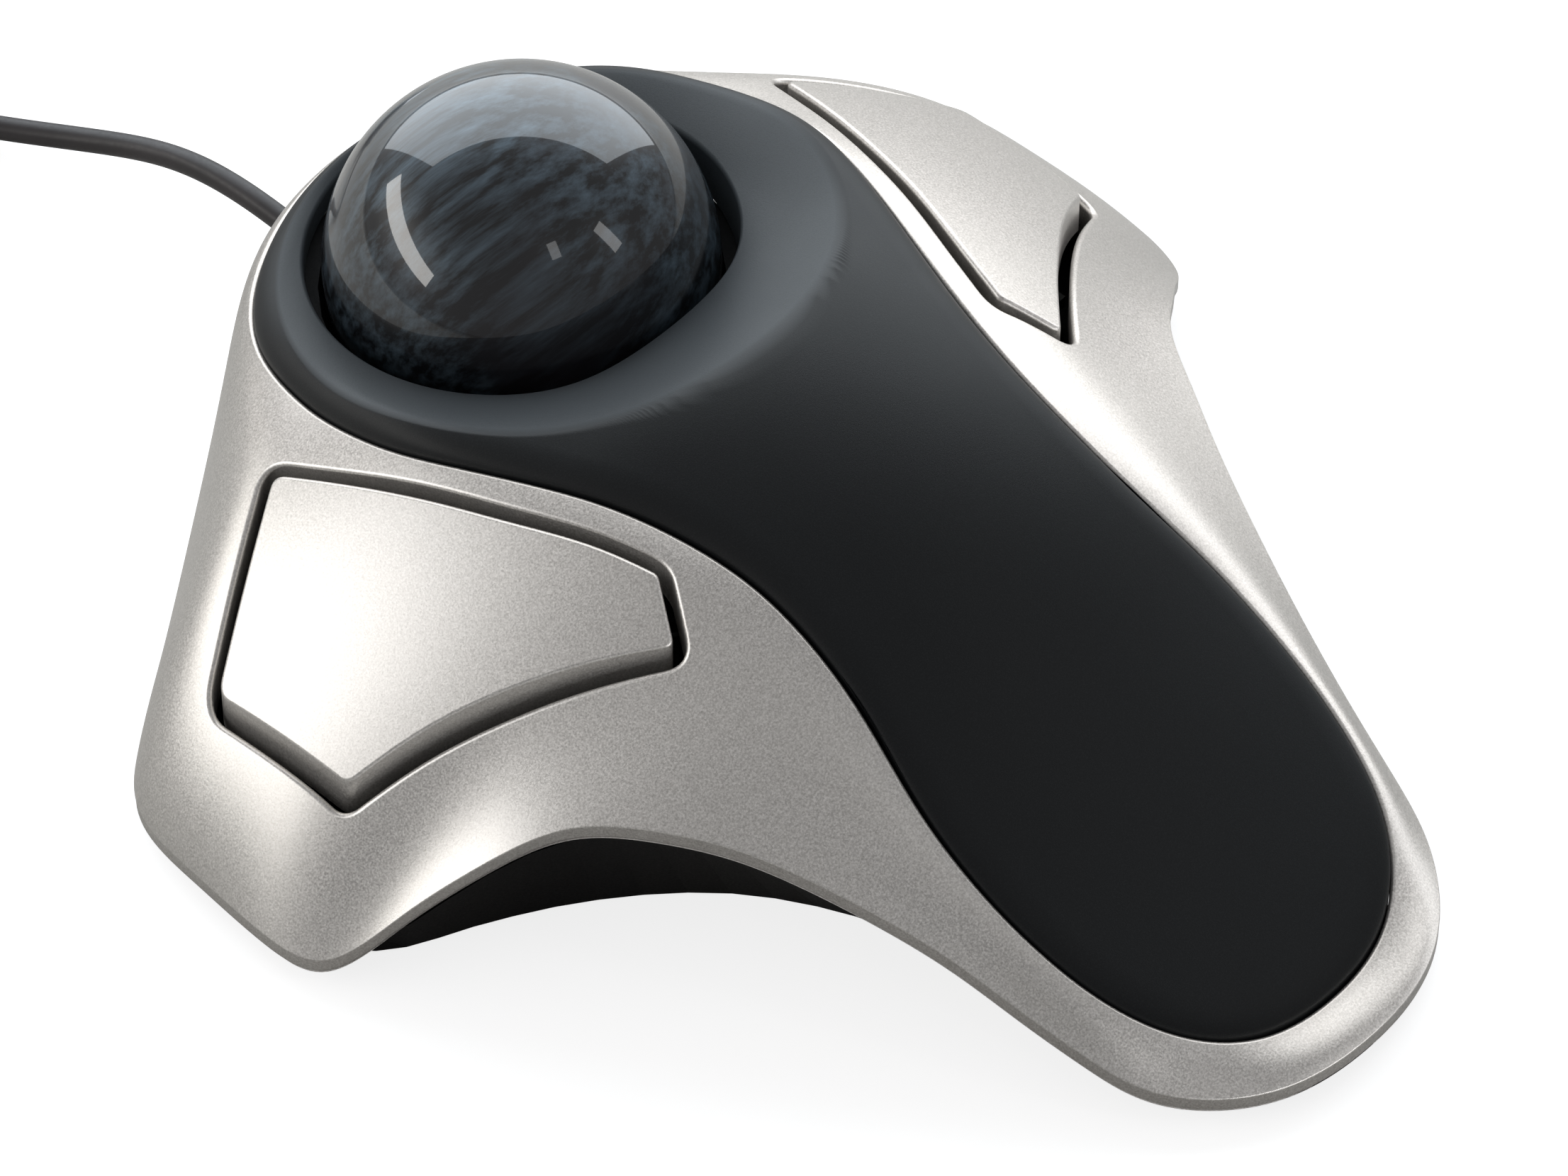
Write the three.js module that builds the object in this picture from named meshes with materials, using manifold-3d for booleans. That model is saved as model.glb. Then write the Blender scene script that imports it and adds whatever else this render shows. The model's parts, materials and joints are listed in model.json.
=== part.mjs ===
// Desktop trackball mouse with two winged buttons and a 40 mm ball.
// Millimetres, +X right, +Y away from the user, +Z up. The origin is on the desk below the ball's centre.
import * as THREE from 'three';
import { mergeVertices } from 'three/addons/utils/BufferGeometryUtils.js';
import Module from 'manifold-3d';

const wasm = await Module();
wasm.setup();

// ---------------------------------------------------------------- driving dimensions

const BALL_RADIUS = 20;
const BALL_CENTRE_Z = 29.8;
const HOLE_RADIUS = 21.8;
const HOLE_FLAT_Y = -20.8;
const HOLE_CORNER = 12;
const HOLE_RIM_Z = 32.2;
const HOLE_RIM_TILT = -0.12;

// Half-outline stations, from the middle of the back, round the right wing, to the palm end.
// Each row is a section through the shell: the rim beside the centre cover (plan), the crease above the
// lower lip (plan and height), the foot line of the base (plan), then the section's slope in degrees at
// the rim and at the crease, and how far each slope carries, as a share of the section's length.
const STATIONS = [
  // rim x, y    crease x, y, z      foot x, y     slopes   pulls
  [0, 24.6, 0, 31, 3.8, 0, 28, 30, 84, 0.08, 0.55], // middle of the back
  [10.5, 22.9, 13, 28.8, 3.8, 11.8, 26, 30, 81, 0.1, 0.55],
  [20, 18, 24.3, 21.4, 3.8, 22.4, 19, 30, 76, 0.12, 0.55],
  [26.2, 11.2, 39.2, 10.8, 3.8, 36.8, 8.8, 25, 72, 0.22, 0.5], // back edge of the wing
  [29, 3.5, 52.4, 1.6, 3.8, 49.8, -0.8, 18, 72, 0.3, 0.43],
  [30.1, -3.5, 61.2, -5.8, 3.8, 57.8, -8, 20, 75, 0.27, 0.31], // back corner of the wing
  [29.9, -11.5, 63.5, -16, 3.8, 60, -17, 22.4, 70.6, 0.18, 0.31],
  [28, -19, 64.2, -26, 3.8, 60.4, -26.5, 20.3, 58.9, 0.18, 0.38], // widest point
  [25.6, -25.5, 62.4, -33.4, 4, 58.6, -32.2, 14.7, 53.2, 0.13, 0.56], // front corner of the wing
  [23.3, -31.5, 56.6, -38.2, 9.7, 54.4, -36.2, 11.5, 46, 0.17, 0.64],
  [21.3, -37.5, 50.3, -43, 15.8, 48.2, -39.2, 8.8, 38.2, 0.24, 0.64], // side arch
  [19.7, -44, 44, -48.1, 19.8, 41, -43.3, 8.8, 34.7, 0.27, 0.58],
  [18.8, -51, 39.2, -54.8, 20.9, 34, -48.6, 12.3, 35.9, 0.26, 0.57], // waist
  [18.9, -58.5, 35.2, -61.6, 20.3, 28, -54.8, 13.7, 38.5, 0.26, 0.55],
  [19.8, -65.5, 32, -68.4, 18.5, 23.5, -62, 15, 41.3, 0.29, 0.49],
  [21.2, -73, 29.2, -75.4, 16.1, 20.6, -69.5, 17, 44.5, 0.32, 0.42],
  [21.7, -81, 26.8, -82.4, 13.3, 19.4, -78.5, 19, 48, 0.36, 0.36], // palm rest
  [21.1, -88.5, 24.9, -89.4, 10, 18.6, -87, 17, 46, 0.36, 0.36],
  [19.2, -96, 23, -96.6, 7, 17.6, -94.5, 15, 44, 0.36, 0.36],
  [15.2, -102.4, 19.8, -103.8, 4.6, 15.4, -101, 14, 43, 0.36, 0.36],
  [8.5, -106.7, 11.6, -110.8, 3.8, 9.4, -107, 13, 42, 0.36, 0.36],
  [0, -108, 0, -113.1, 3.8, 0, -109, 13, 42, 0.36, 0.36], // palm end
];
const SIDEWAYS_COLUMNS = [0, 2, 5];
const PALM_END = 113.1;

// Ridge height along Y, and the sideways fall from it, which is crown times x squared.
const RIDGE = [
  [-108, 5.1], [-99.6, 10.1], [-92.7, 14], [-84.7, 18.8], [-75.4, 24.6], [-63.3, 32.2], [-52, 37.7],
  [-41.2, 40.9], [-31.5, 42], [-23.6, 41.4], [-12.3, 39.6], [0, 35.8], [7.8, 33.3], [24.6, 28],
];
const CROWN = [
  [-108, 0.003], [-99.6, 0.003], [-84.7, 0.0052], [-63.3, 0.009], [-52, 0.0105], [-41.2, 0.0105],
  [-31.5, 0.0085], [-23.6, 0.0066], [-12.3, 0.0056], [0, 0.005], [24.6, 0.004],
];

const SHELL_THICKNESS = 1.9;
const LIP_HEIGHT = 1.9;
const RIM_BLEND = 0.2;
const COVER_GAP = 0.45;
const COVER_THICKNESS = 2;
const COVER_ROLL_WIDTH = 3;
const COVER_PROUD_PALM = 1;
const COVER_PROUD_BALL = 2.2;
const DISH_CENTRE_Y = -5.5;
const DISH_RADIUS = 28.4;
const DISH_POWER = 1.25;
const HOLE_SKIRT_Z = 27.2;
const HOLE_SKIRT_WALL = 0.9;

const FLOOR_BOTTOM = 1;
const FLOOR_TOP = 2.4;
const BASE_WALL = 1.8;
const BASE_RIM_Z = 2.8;
const BASE_GAP = 0.6;
const BASE_INSET = 0.9;

// Right button, clockwise from its back inner corner.
const BUTTON_INNER_EDGE = [
  [36.4, -1.7], [34.6, -8.4], [31.6, -18.8], [29, -27.3], [26.1, -35.5], [24.3, -41.8],
];
const BUTTON_FRONT_EDGE = [[27.7, -47.2], [33.2, -42], [39.2, -36.9], [45.6, -32.2], [53.2, -27.9]];
const BUTTON_OUTER_CORNER = [53.9, -10.8];
const BUTTON_TOP = { level: 41, x: -0.084, y: -0.415, xx: -0.0069, xy: 0.0031, yy: -0.0075 };
const BUTTON_CENTRE = [41, -22];
const BUTTON_DEPTH = 5;
const BUTTON_SKIN = 1.8;
const BUTTON_CHAMFER = 0.5;
const OPENING_MARGIN = 1.2;
const OPENING_CORNER_RADIUS = 1.6;
const OPENING_ABOVE = 6;
const OPENING_BELOW = 9;

const SWITCH_SPOT = [44, -19];
const SWITCH_SIZE = [5.8, 12.8, 5.2];
const PLUNGER_SIZE = [1.6, 3.2, 1.2];
const PLUNGER_REACH = 0.8;
const ACTUATOR_SIZE = [2.4, 6];
const ACTUATOR_GAP = 0.3;

const BOARD_BOTTOM = 4.6;
const BOARD_TOP = 6.2;
const BOARD_SCREWS = [[0, -34], [-20, 6], [20, 6]];
const CUP_RADIUS = 20.8;
const CUP_WALL = 1.7;
const CUP_RIM_Z = 26.5;
const CUP_WINDOW_RADIUS = 8;
const CUP_STEPS = 8;
const LEG_CIRCLE = 19;
const LEG_RADIUS = 2.4;
const LEG_ANGLES = [90, 210, 330];
const BEARING_RADIUS = 1;
const BEARING_ANGLES = [30, 150, 270];
const BEARING_FALL = 42;
const SCREW_CLEARANCE = 0.4;
const PILOT_CLEARANCE = 0.2;
const SCREW = { headRadius: 2.1, headHeight: 1.2, shaftRadius: 0.95, length: 7 };
const POST_RADIUS = 2.6;
const POST_BOTTOM = 2.8;
const POST_EMBED = 3.2;
const SHELL_POSTS = [[33.5, 4.5], [25, -50.5]];
const PALM_POST = [0, -84];

const HEADER_SPOT = [17.5, 12.8];
const HEADER_SIZE = [10, 5, 2.8];
const CONNECTOR_SIZE = [9.4, 4.6, 3.4];
const WIRE_RADIUS = 0.4;
const WIRE_COUNT = 4;
const SENSOR_CHIP_SIZE = [9, 12, 1.4];
const CONTROLLER_SPOT = [0, -26];
const CONTROLLER_SIZE = [9, 9, 1.3];
const CRYSTAL_SPOT = [14, -24];
const CRYSTAL_SIZE = [10, 4.2, 3.4];
const CAPACITOR_SPOT = [-14, -33];
const LAMP_AXIS = [-12.8, 7.75];
const LABEL_Y = -46;
const LABEL_SIZE = [34, 20, 0.2];

const CABLE_RADIUS = 1.3;
const CABLE_HEIGHT = 9.8;
const RELIEF = { hole: 2.7, neck: 2.4, flange: 3.8, tip: 1.75, bore: CABLE_RADIUS + 0.25 };
const PLUG = { width: 16, thickness: 8, length: 24, shellWidth: 12, shellThickness: 4.5, shellLength: 12 };
const PLUG_Y = PALM_END - PLUG.width / 2;
const PLUG_X = 18;
const PLUG_Z = 4.4;
const CABLE_PATH = [
  [0, 24.5, CABLE_HEIGHT], [0, 31, CABLE_HEIGHT], [0.2, 38, CABLE_HEIGHT], [0.3, 45, 9.2], [0, 53, 7.2],
  [-2, 62, 4.4], [-6, 72, 2.3], [-10.5, 83, 1.6], [-11, 94, 2], [-4, 103, 3.2], [8, PLUG_Y, PLUG_Z],
  [PLUG_X - 1, PLUG_Y, PLUG_Z],
];

const FEET = [
  { name: 'foot_wing_left', at: [-48, -20], radius: 6, stretch: 1 },
  { name: 'foot_wing_right', at: [48, -20], radius: 6, stretch: 1 },
  { name: 'foot_rear_left', at: [-20, 14], radius: 4.5, stretch: 1 },
  { name: 'foot_rear_right', at: [20, 14], radius: 4.5, stretch: 1 },
  { name: 'foot_palm', at: [0, -97], radius: 5, stretch: 2 },
];

const FINISH = {
  silver: { color: 0xb5b2ae, roughness: 0.38, metalness: 0.75 },
  softTouch: { color: 0x222528, roughness: 0.62, metalness: 0 },
  base: { color: 0x121212, roughness: 0.6, metalness: 0 },
  ball: { color: 0x141a22, roughness: 0.08, metalness: 0.1 },
  rubber: { color: 0x1a1a1a, roughness: 0.9, metalness: 0 },
  cable: { color: 0x2b2626, roughness: 0.6, metalness: 0 },
  board: { color: 0x1f5a35, roughness: 0.5, metalness: 0 },
  chip: { color: 0x18181a, roughness: 0.5, metalness: 0 },
  steel: { color: 0xa9abad, roughness: 0.3, metalness: 1 },
  clear: { color: 0xd8dde0, roughness: 0.1, metalness: 0 },
  red: { color: 0xb02a22, roughness: 0.3, metalness: 0 },
  white: { color: 0xe6e3da, roughness: 0.5, metalness: 0 },
  cup: { color: 0x1b1b1d, roughness: 0.5, metalness: 0 },
  paper: { color: 0xc9c9c6, roughness: 0.7, metalness: 0 },
};

// How finely the faces are drawn.
const COLUMNS_PER_STATION = 2;
const DOWN_THE_SECTION = 6;
const DOWN_THE_INSIDE = 4;
const COVER_RINGS = 9;
const COVER_INSIDE_RINGS = 4;
const BUTTON_EDGE_STEPS = 10;
const SHARP_CORNER = 0.94;

// ---------------------------------------------------------------- curves and heights

const lerp = THREE.MathUtils.lerp;
const clamp = THREE.MathUtils.clamp;
const smoothstep = THREE.MathUtils.smoothstep;
const radians = THREE.MathUtils.degToRad;

// Smooth curve through [position, value] pairs, as a function of position.
function profile(points) {
  const slope = points.map((_, i) => {
    const before = points[Math.max(i - 1, 0)];
    const after = points[Math.min(i + 1, points.length - 1)];
    return (after[1] - before[1]) / (after[0] - before[0]);
  });
  return (position) => {
    let i = points.findIndex((point) => point[0] > position) - 1;
    if (i < 0) i = position < points[0][0] ? 0 : points.length - 2;
    const span = points[i + 1][0] - points[i][0];
    const t = clamp((position - points[i][0]) / span, 0, 1);
    const rise = points[i + 1][1] - points[i][1];
    const bend = (1 - t) * (slope[i] * span - rise) + t * (rise - slope[i + 1] * span);
    return points[i][1] + t * rise + t * (1 - t) * bend;
  };
}

const ridgeAt = profile(RIDGE);
const crownAt = profile(CROWN);
const rimHeight = (x, y) => ridgeAt(y) - crownAt(y) * x * x;

function buttonTop(x, y) {
  const across = Math.abs(x);
  const { level, x: kx, y: ky, xx, xy, yy } = BUTTON_TOP;
  return level + kx * across + ky * y + xx * across * across + xy * across * y + yy * y * y;
}

// The stations as a closed loop: down the right side, then back up the left side.
const mirrored = (row) => row.map((value, column) => (SIDEWAYS_COLUMNS.includes(column) ? -value : value));
const LOOP = [...STATIONS, ...STATIONS.slice(1, -1).reverse().map(mirrored)];
const ROUND_THE_LOOP = COLUMNS_PER_STATION * LOOP.length;

// The section at any place u round the loop, by a Catmull-Rom curve through every column.
function stationAt(u) {
  const first = Math.floor(u);
  const t = u - first;
  const rows = [-1, 0, 1, 2].map((step) => LOOP[(first + step + LOOP.length) % LOOP.length]);
  return rows[1].map((value, column) => {
    const [a, b, c, d] = rows.map((row) => row[column]);
    return b + 0.5 * t * (c - a + t * (2 * a - 5 * b + 4 * c - d + t * (3 * (b - c) + d - a)));
  });
}

function sectionAt(u) {
  const [rx, ry, cx, cy, cz, fx, fy, rimSlope, creaseSlope, rimPull, creasePull] = stationAt(u);
  const rim = new THREE.Vector3(rx, ry, rimHeight(rx, ry));
  const crease = new THREE.Vector3(cx, cy, cz);
  const outward = new THREE.Vector3(cx - rx, cy - ry, 0).normalize();
  const length = rim.distanceTo(crease);
  const along = (slope, distance) => outward.clone()
    .multiplyScalar(Math.cos(radians(slope)) * distance)
    .setZ(-Math.sin(radians(slope)) * distance);
  const curve = new THREE.CubicBezierCurve3(
    rim,
    rim.clone().add(along(rimSlope, rimPull * length)),
    crease.clone().sub(along(creaseSlope, creasePull * length)),
    crease,
  );
  return { rim, crease, outward, curve, foot: new THREE.Vector3(fx, fy, 0) };
}

// ---------------------------------------------------------------- solids

function solidGeometry(positions, triangles) {
  const geometry = new THREE.BufferGeometry();
  geometry.setAttribute('position', new THREE.Float32BufferAttribute(positions.flatMap((p) => p.toArray()), 3));
  let volume = 0;
  for (const [a, b, c] of triangles) {
    volume += positions[a].dot(positions[b].clone().cross(positions[c]));
  }
  const facing = volume > 0 ? triangles : triangles.map(([a, b, c]) => [a, c, b]);
  geometry.setIndex(facing.flat());
  return geometry;
}

// A closed band: sections are point rings of one length, joined round a loop.
function ringSolid(sections) {
  const size = sections[0].length;
  const triangles = [];
  sections.forEach((_, i) => {
    const next = (i + 1) % sections.length;
    for (let j = 0; j < size; j += 1) {
      const k = (j + 1) % size;
      triangles.push([i * size + j, next * size + j, next * size + k]);
      triangles.push([i * size + j, next * size + k, i * size + k]);
    }
  });
  return solidGeometry(sections.flat(), triangles);
}

// A solid with a loop of sections for its sides, and a flat or domed middle fanned to two centre points.
function cappedSolid(sections, firstCentre, lastCentre) {
  const size = sections[0].length;
  const positions = [...sections.flat(), firstCentre, lastCentre];
  const triangles = [];
  sections.forEach((_, i) => {
    const next = (i + 1) % sections.length;
    for (let j = 0; j < size - 1; j += 1) {
      triangles.push([i * size + j, next * size + j, next * size + j + 1]);
      triangles.push([i * size + j, next * size + j + 1, i * size + j + 1]);
    }
    triangles.push([positions.length - 2, next * size, i * size]);
    triangles.push([positions.length - 1, i * size + size - 1, next * size + size - 1]);
  });
  return solidGeometry(positions, triangles);
}

function welded(geometry) {
  const bare = geometry.clone();
  bare.deleteAttribute('normal');
  bare.deleteAttribute('uv');
  return mergeVertices(bare, 1e-4);
}

function toSolid(geometry) {
  const mesh = welded(geometry);
  const vertProperties = new Float32Array(mesh.attributes.position.array);
  const triVerts = new Uint32Array(mesh.index.array);
  return new wasm.Manifold(new wasm.Mesh({ numProp: 3, vertProperties, triVerts }));
}

function fromSolid(solid) {
  const mesh = solid.getMesh();
  const geometry = new THREE.BufferGeometry();
  geometry.setAttribute('position', new THREE.BufferAttribute(new Float32Array(mesh.vertProperties), 3));
  geometry.setIndex(new THREE.BufferAttribute(new Uint32Array(mesh.triVerts), 1));
  return geometry;
}

// The body joined with every added shape, then cut by every removed shape.
function combined(body, added, removed) {
  let solid = toSolid(body);
  for (const shape of added) solid = solid.add(toSolid(shape));
  for (const shape of removed) solid = solid.subtract(toSolid(shape));
  return fromSolid(solid);
}

function cylinder(x, y, bottom, top, radius, sides = 20) {
  const geometry = new THREE.CylinderGeometry(radius, radius, top - bottom, sides);
  geometry.rotateX(Math.PI / 2);
  geometry.translate(x, y, (bottom + top) / 2);
  return geometry;
}

function box(x, y, bottom, [width, depth, height]) {
  const geometry = new THREE.BoxGeometry(width, depth, height);
  geometry.translate(x, y, bottom + height / 2);
  return geometry;
}

function sphere(x, y, z, radius, sides = 16) {
  const geometry = new THREE.SphereGeometry(radius, sides, Math.ceil(sides * 0.6));
  geometry.translate(x, y, z);
  return geometry;
}

// Turned about the Z axis from [radius, height] pairs.
function turned(points, sides = 20) {
  const outline = points.map(([radius, height]) => new THREE.Vector2(radius, height));
  const geometry = new THREE.LatheGeometry(outline, sides);
  geometry.rotateX(Math.PI / 2);
  return geometry;
}

function tube(points, radius, steps, sides) {
  const path = new THREE.CatmullRomCurve3(points.map((point) => new THREE.Vector3(...point)));
  const round = new THREE.Shape().absarc(0, 0, radius, 0, 2 * Math.PI);
  const options = { extrudePath: path, steps, curveSegments: sides, bevelEnabled: false };
  return new THREE.ExtrudeGeometry(round, options);
}

// ---------------------------------------------------------------- outlines

function buttonOutline() {
  const vector = ([x, y]) => new THREE.Vector2(x, y);
  const inner = new THREE.SplineCurve(BUTTON_INNER_EDGE.map(vector)).getPoints(BUTTON_EDGE_STEPS);
  const front = new THREE.SplineCurve(BUTTON_FRONT_EDGE.map(vector)).getPoints(BUTTON_EDGE_STEPS);
  return [...inner, ...front, vector(BUTTON_OUTER_CORNER)];
}

// Every corner of a clockwise or anticlockwise outline moved outward by the margin.
function grown(outline, margin) {
  const turn = Math.sign(THREE.ShapeUtils.area(outline));
  return outline.map((corner, i) => {
    const before = outline[(i + outline.length - 1) % outline.length];
    const after = outline[(i + 1) % outline.length];
    const arriving = corner.clone().sub(before).normalize();
    const leaving = after.clone().sub(corner).normalize();
    const push = new THREE.Vector2(arriving.y + leaving.y, -arriving.x - leaving.x);
    return corner.clone().add(push.multiplyScalar((turn * margin) / (1 + arriving.dot(leaving))));
  });
}

function rounded(outline, radius, steps = 4) {
  return outline.flatMap((corner, i) => {
    const before = outline[(i + outline.length - 1) % outline.length];
    const after = outline[(i + 1) % outline.length];
    const arriving = corner.clone().sub(before).normalize();
    const leaving = after.clone().sub(corner).normalize();
    if (arriving.dot(leaving) > SHARP_CORNER) return [corner];
    const start = corner.clone().addScaledVector(arriving, -radius);
    const end = corner.clone().addScaledVector(leaving, radius);
    return new THREE.QuadraticBezierCurve(start, corner, end).getPoints(steps);
  });
}

// A solid over a plan outline, with rings drawn in towards a centre on its curved top and bottom.
function padSolid(outline, centre, topAt, bottomAt, chamfer) {
  const middle = new THREE.Vector2(...centre);
  const inset = chamfer > 0 ? grown(outline, -chamfer) : outline;
  const lift = (plan, heightAt) => new THREE.Vector3(plan.x, plan.y, heightAt(plan.x, plan.y));
  const lowered = (x, y) => topAt(x, y) - chamfer;
  const sections = outline.map((corner, i) => {
    const top = [1, 0.66, 0.33].map((share) => lift(middle.clone().lerp(inset[i], share), topAt));
    const side = chamfer > 0 ? [lift(corner, lowered)] : [];
    const bottom = [1, 0.66, 0.33].map((share) => lift(middle.clone().lerp(corner, share), bottomAt));
    return [...top.reverse(), ...side, ...bottom];
  });
  return cappedSolid(sections, lift(middle, topAt), lift(middle, bottomAt));
}

function distanceToOutline(plan, outline) {
  return Math.min(...outline.map((corner, i) => {
    const side = outline[(i + 1) % outline.length].clone().sub(corner);
    const across = plan.clone().sub(corner);
    const share = clamp(across.dot(side) / side.lengthSq(), 0, 1);
    return across.addScaledVector(side, -share).length();
  }));
}

function mirroredPlan(outline) {
  return outline.map((corner) => new THREE.Vector2(-corner.x, corner.y));
}

// ---------------------------------------------------------------- silver top shell

function shellPoint(u, t) {
  return sectionAt(u).curve.getPoint(t);
}

function shellNormal(u, t) {
  const step = 0.02;
  const ahead = Math.min(t, 1 - step);
  const here = shellPoint(u, ahead);
  const down = shellPoint(u, ahead + step).sub(here);
  const round = shellPoint((u + step) % LOOP.length, ahead).sub(here);
  const normal = down.cross(round).normalize();
  return normal.z < 0 || normal.dot(sectionAt(u).outward) < 0 ? normal.negate() : normal;
}

function shellGeometry() {
  const sections = [];
  for (let i = 0; i < ROUND_THE_LOOP; i += 1) {
    const u = i / COLUMNS_PER_STATION;
    const { crease, outward } = sectionAt(u);
    const outer = [];
    const inner = [];
    for (let j = 0; j <= DOWN_THE_SECTION; j += 1) outer.push(shellPoint(u, j / DOWN_THE_SECTION));
    for (let j = 0; j <= DOWN_THE_INSIDE; j += 1) {
      const t = j / DOWN_THE_INSIDE;
      const up = new THREE.Vector3(0, 0, 1).lerp(shellNormal(u, t), smoothstep(t, 0, RIM_BLEND)).normalize();
      inner.push(shellPoint(u, t).addScaledVector(up, -SHELL_THICKNESS));
    }
    const lip = crease.clone().setZ(crease.z - LIP_HEIGHT);
    const lipInside = lip.clone().addScaledVector(outward, -SHELL_THICKNESS);
    sections.push([...outer, lip, lipInside, ...inner.reverse()]);
  }
  return ringSolid(sections);
}

// Height of the shell's outer face over a plan point on the right side.
function shellHeight(x, y) {
  let best = { distance: Infinity, z: 0 };
  for (let u = 0; u <= STATIONS.length - 1; u += 0.05) {
    const { curve } = sectionAt(u);
    for (let t = 0; t <= 1; t += 0.02) {
      const point = curve.getPoint(t);
      const distance = Math.hypot(point.x - x, point.y - y);
      if (distance < best.distance) best = { distance, z: point.z };
    }
  }
  return best.z;
}

function topShell() {
  const opening = rounded(grown(buttonOutline(), OPENING_MARGIN), OPENING_CORNER_RADIUS);
  const above = (x, y) => buttonTop(x, y) + OPENING_ABOVE;
  const below = (x, y) => buttonTop(x, y) - OPENING_BELOW;
  const openings = [opening, mirroredPlan(opening)].map((outline, i) => {
    const side = i === 0 ? 1 : -1;
    return padSolid(outline, [side * BUTTON_CENTRE[0], BUTTON_CENTRE[1]], above, below, 0);
  });
  const posts = SHELL_POSTS.flatMap(([x, y]) => [x, -x].map(
    (spot) => cylinder(spot, y, POST_BOTTOM, shellHeight(x, y) - POST_EMBED, POST_RADIUS),
  ));
  const pilots = SHELL_POSTS.flatMap(([x, y]) => [x, -x].map((spot) => pilotHole(spot, y)));
  const cableHole = tube([[0, 22, CABLE_HEIGHT], [0, 36, CABLE_HEIGHT]], RELIEF.hole, 1, 10);
  return combined(shellGeometry(), posts, [...openings, ...pilots, cableHole]);
}

// ---------------------------------------------------------------- centre cover

// Distance from the ball's axis to the hole's edge along a unit direction.
// The hole is a circle with a flat on the palm side.
function holeReach(ey) {
  if (ey >= 0) return HOLE_RADIUS;
  const flat = HOLE_FLAT_Y / ey;
  return (HOLE_RADIUS ** -HOLE_CORNER + flat ** -HOLE_CORNER) ** (-1 / HOLE_CORNER);
}

function dishReach(ey) {
  const along = DISH_CENTRE_Y * ey;
  return along + Math.sqrt(along * along - DISH_CENTRE_Y ** 2 + DISH_RADIUS ** 2);
}

function coverTop(x, y, fromEdge) {
  const proud = lerp(COVER_PROUD_PALM, COVER_PROUD_BALL, smoothstep(y, -28, -6));
  const crown = (px, py) => rimHeight(px, py) + proud;
  const roll = 1 - clamp(fromEdge / COVER_ROLL_WIDTH, 0, 1);
  const distance = Math.hypot(x, y);
  const [ex, ey] = [x / distance, y / distance];
  const hole = holeReach(ey);
  const share = clamp((distance - hole) / (dishReach(ey) - hole), 0, 1);
  const rimZ = HOLE_RIM_Z + HOLE_RIM_TILT * ey * hole;
  const depth = (crown(ex * hole, ey * hole) - rimZ) * (1 - share) ** DISH_POWER;
  return crown(x, y) - proud * (1 - Math.sqrt(1 - roll * roll)) - Math.max(depth, 0);
}

function centreCover() {
  const edges = Array.from({ length: ROUND_THE_LOOP }, (_, i) => {
    const { rim, outward } = sectionAt(i / COLUMNS_PER_STATION);
    return new THREE.Vector2(rim.x - COVER_GAP * outward.x, rim.y - COVER_GAP * outward.y);
  });
  const sections = edges.map((edge) => {
    const around = Math.atan2(edge.x, edge.y);
    const [ex, ey] = [Math.sin(around), Math.cos(around)];
    const reach = holeReach(ey);
    const hole = new THREE.Vector2(ex * reach, ey * reach);
    const behind = new THREE.Vector2(ex, ey).multiplyScalar(reach + HOLE_SKIRT_WALL);
    const across = (rings, end, drop) => Array.from({ length: rings + 1 }, (_, j) => {
      const plan = edge.clone().lerp(end, (j / rings) ** 1.5);
      const height = coverTop(plan.x, plan.y, distanceToOutline(plan, edges));
      return new THREE.Vector3(plan.x, plan.y, height - drop);
    });
    const skirt = [hole, behind].map((plan) => new THREE.Vector3(plan.x, plan.y, HOLE_SKIRT_Z));
    const below = across(COVER_INSIDE_RINGS, behind, COVER_THICKNESS);
    return [...across(COVER_RINGS, hole, 0), ...skirt, ...below.reverse()];
  });
  const [x, y] = PALM_POST;
  const post = cylinder(x, y, POST_BOTTOM, rimHeight(x, y) - COVER_THICKNESS / 2, POST_RADIUS);
  return combined(ringSolid(sections), [post], [pilotHole(x, y)]);
}

// ---------------------------------------------------------------- black base

const legSpots = LEG_ANGLES.map((angle) => [
  LEG_CIRCLE * Math.cos(radians(angle)),
  LEG_CIRCLE * Math.sin(radians(angle)),
]);
const caseScrewSpots = [...SHELL_POSTS.flatMap(([x, y]) => [[-x, y], [x, y]]), PALM_POST];

function pilotHole(x, y) {
  const top = FLOOR_BOTTOM + SCREW.length + 2;
  return cylinder(x, y, FLOOR_TOP - 1, top, SCREW.shaftRadius + PILOT_CLEARANCE, 12);
}

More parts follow.
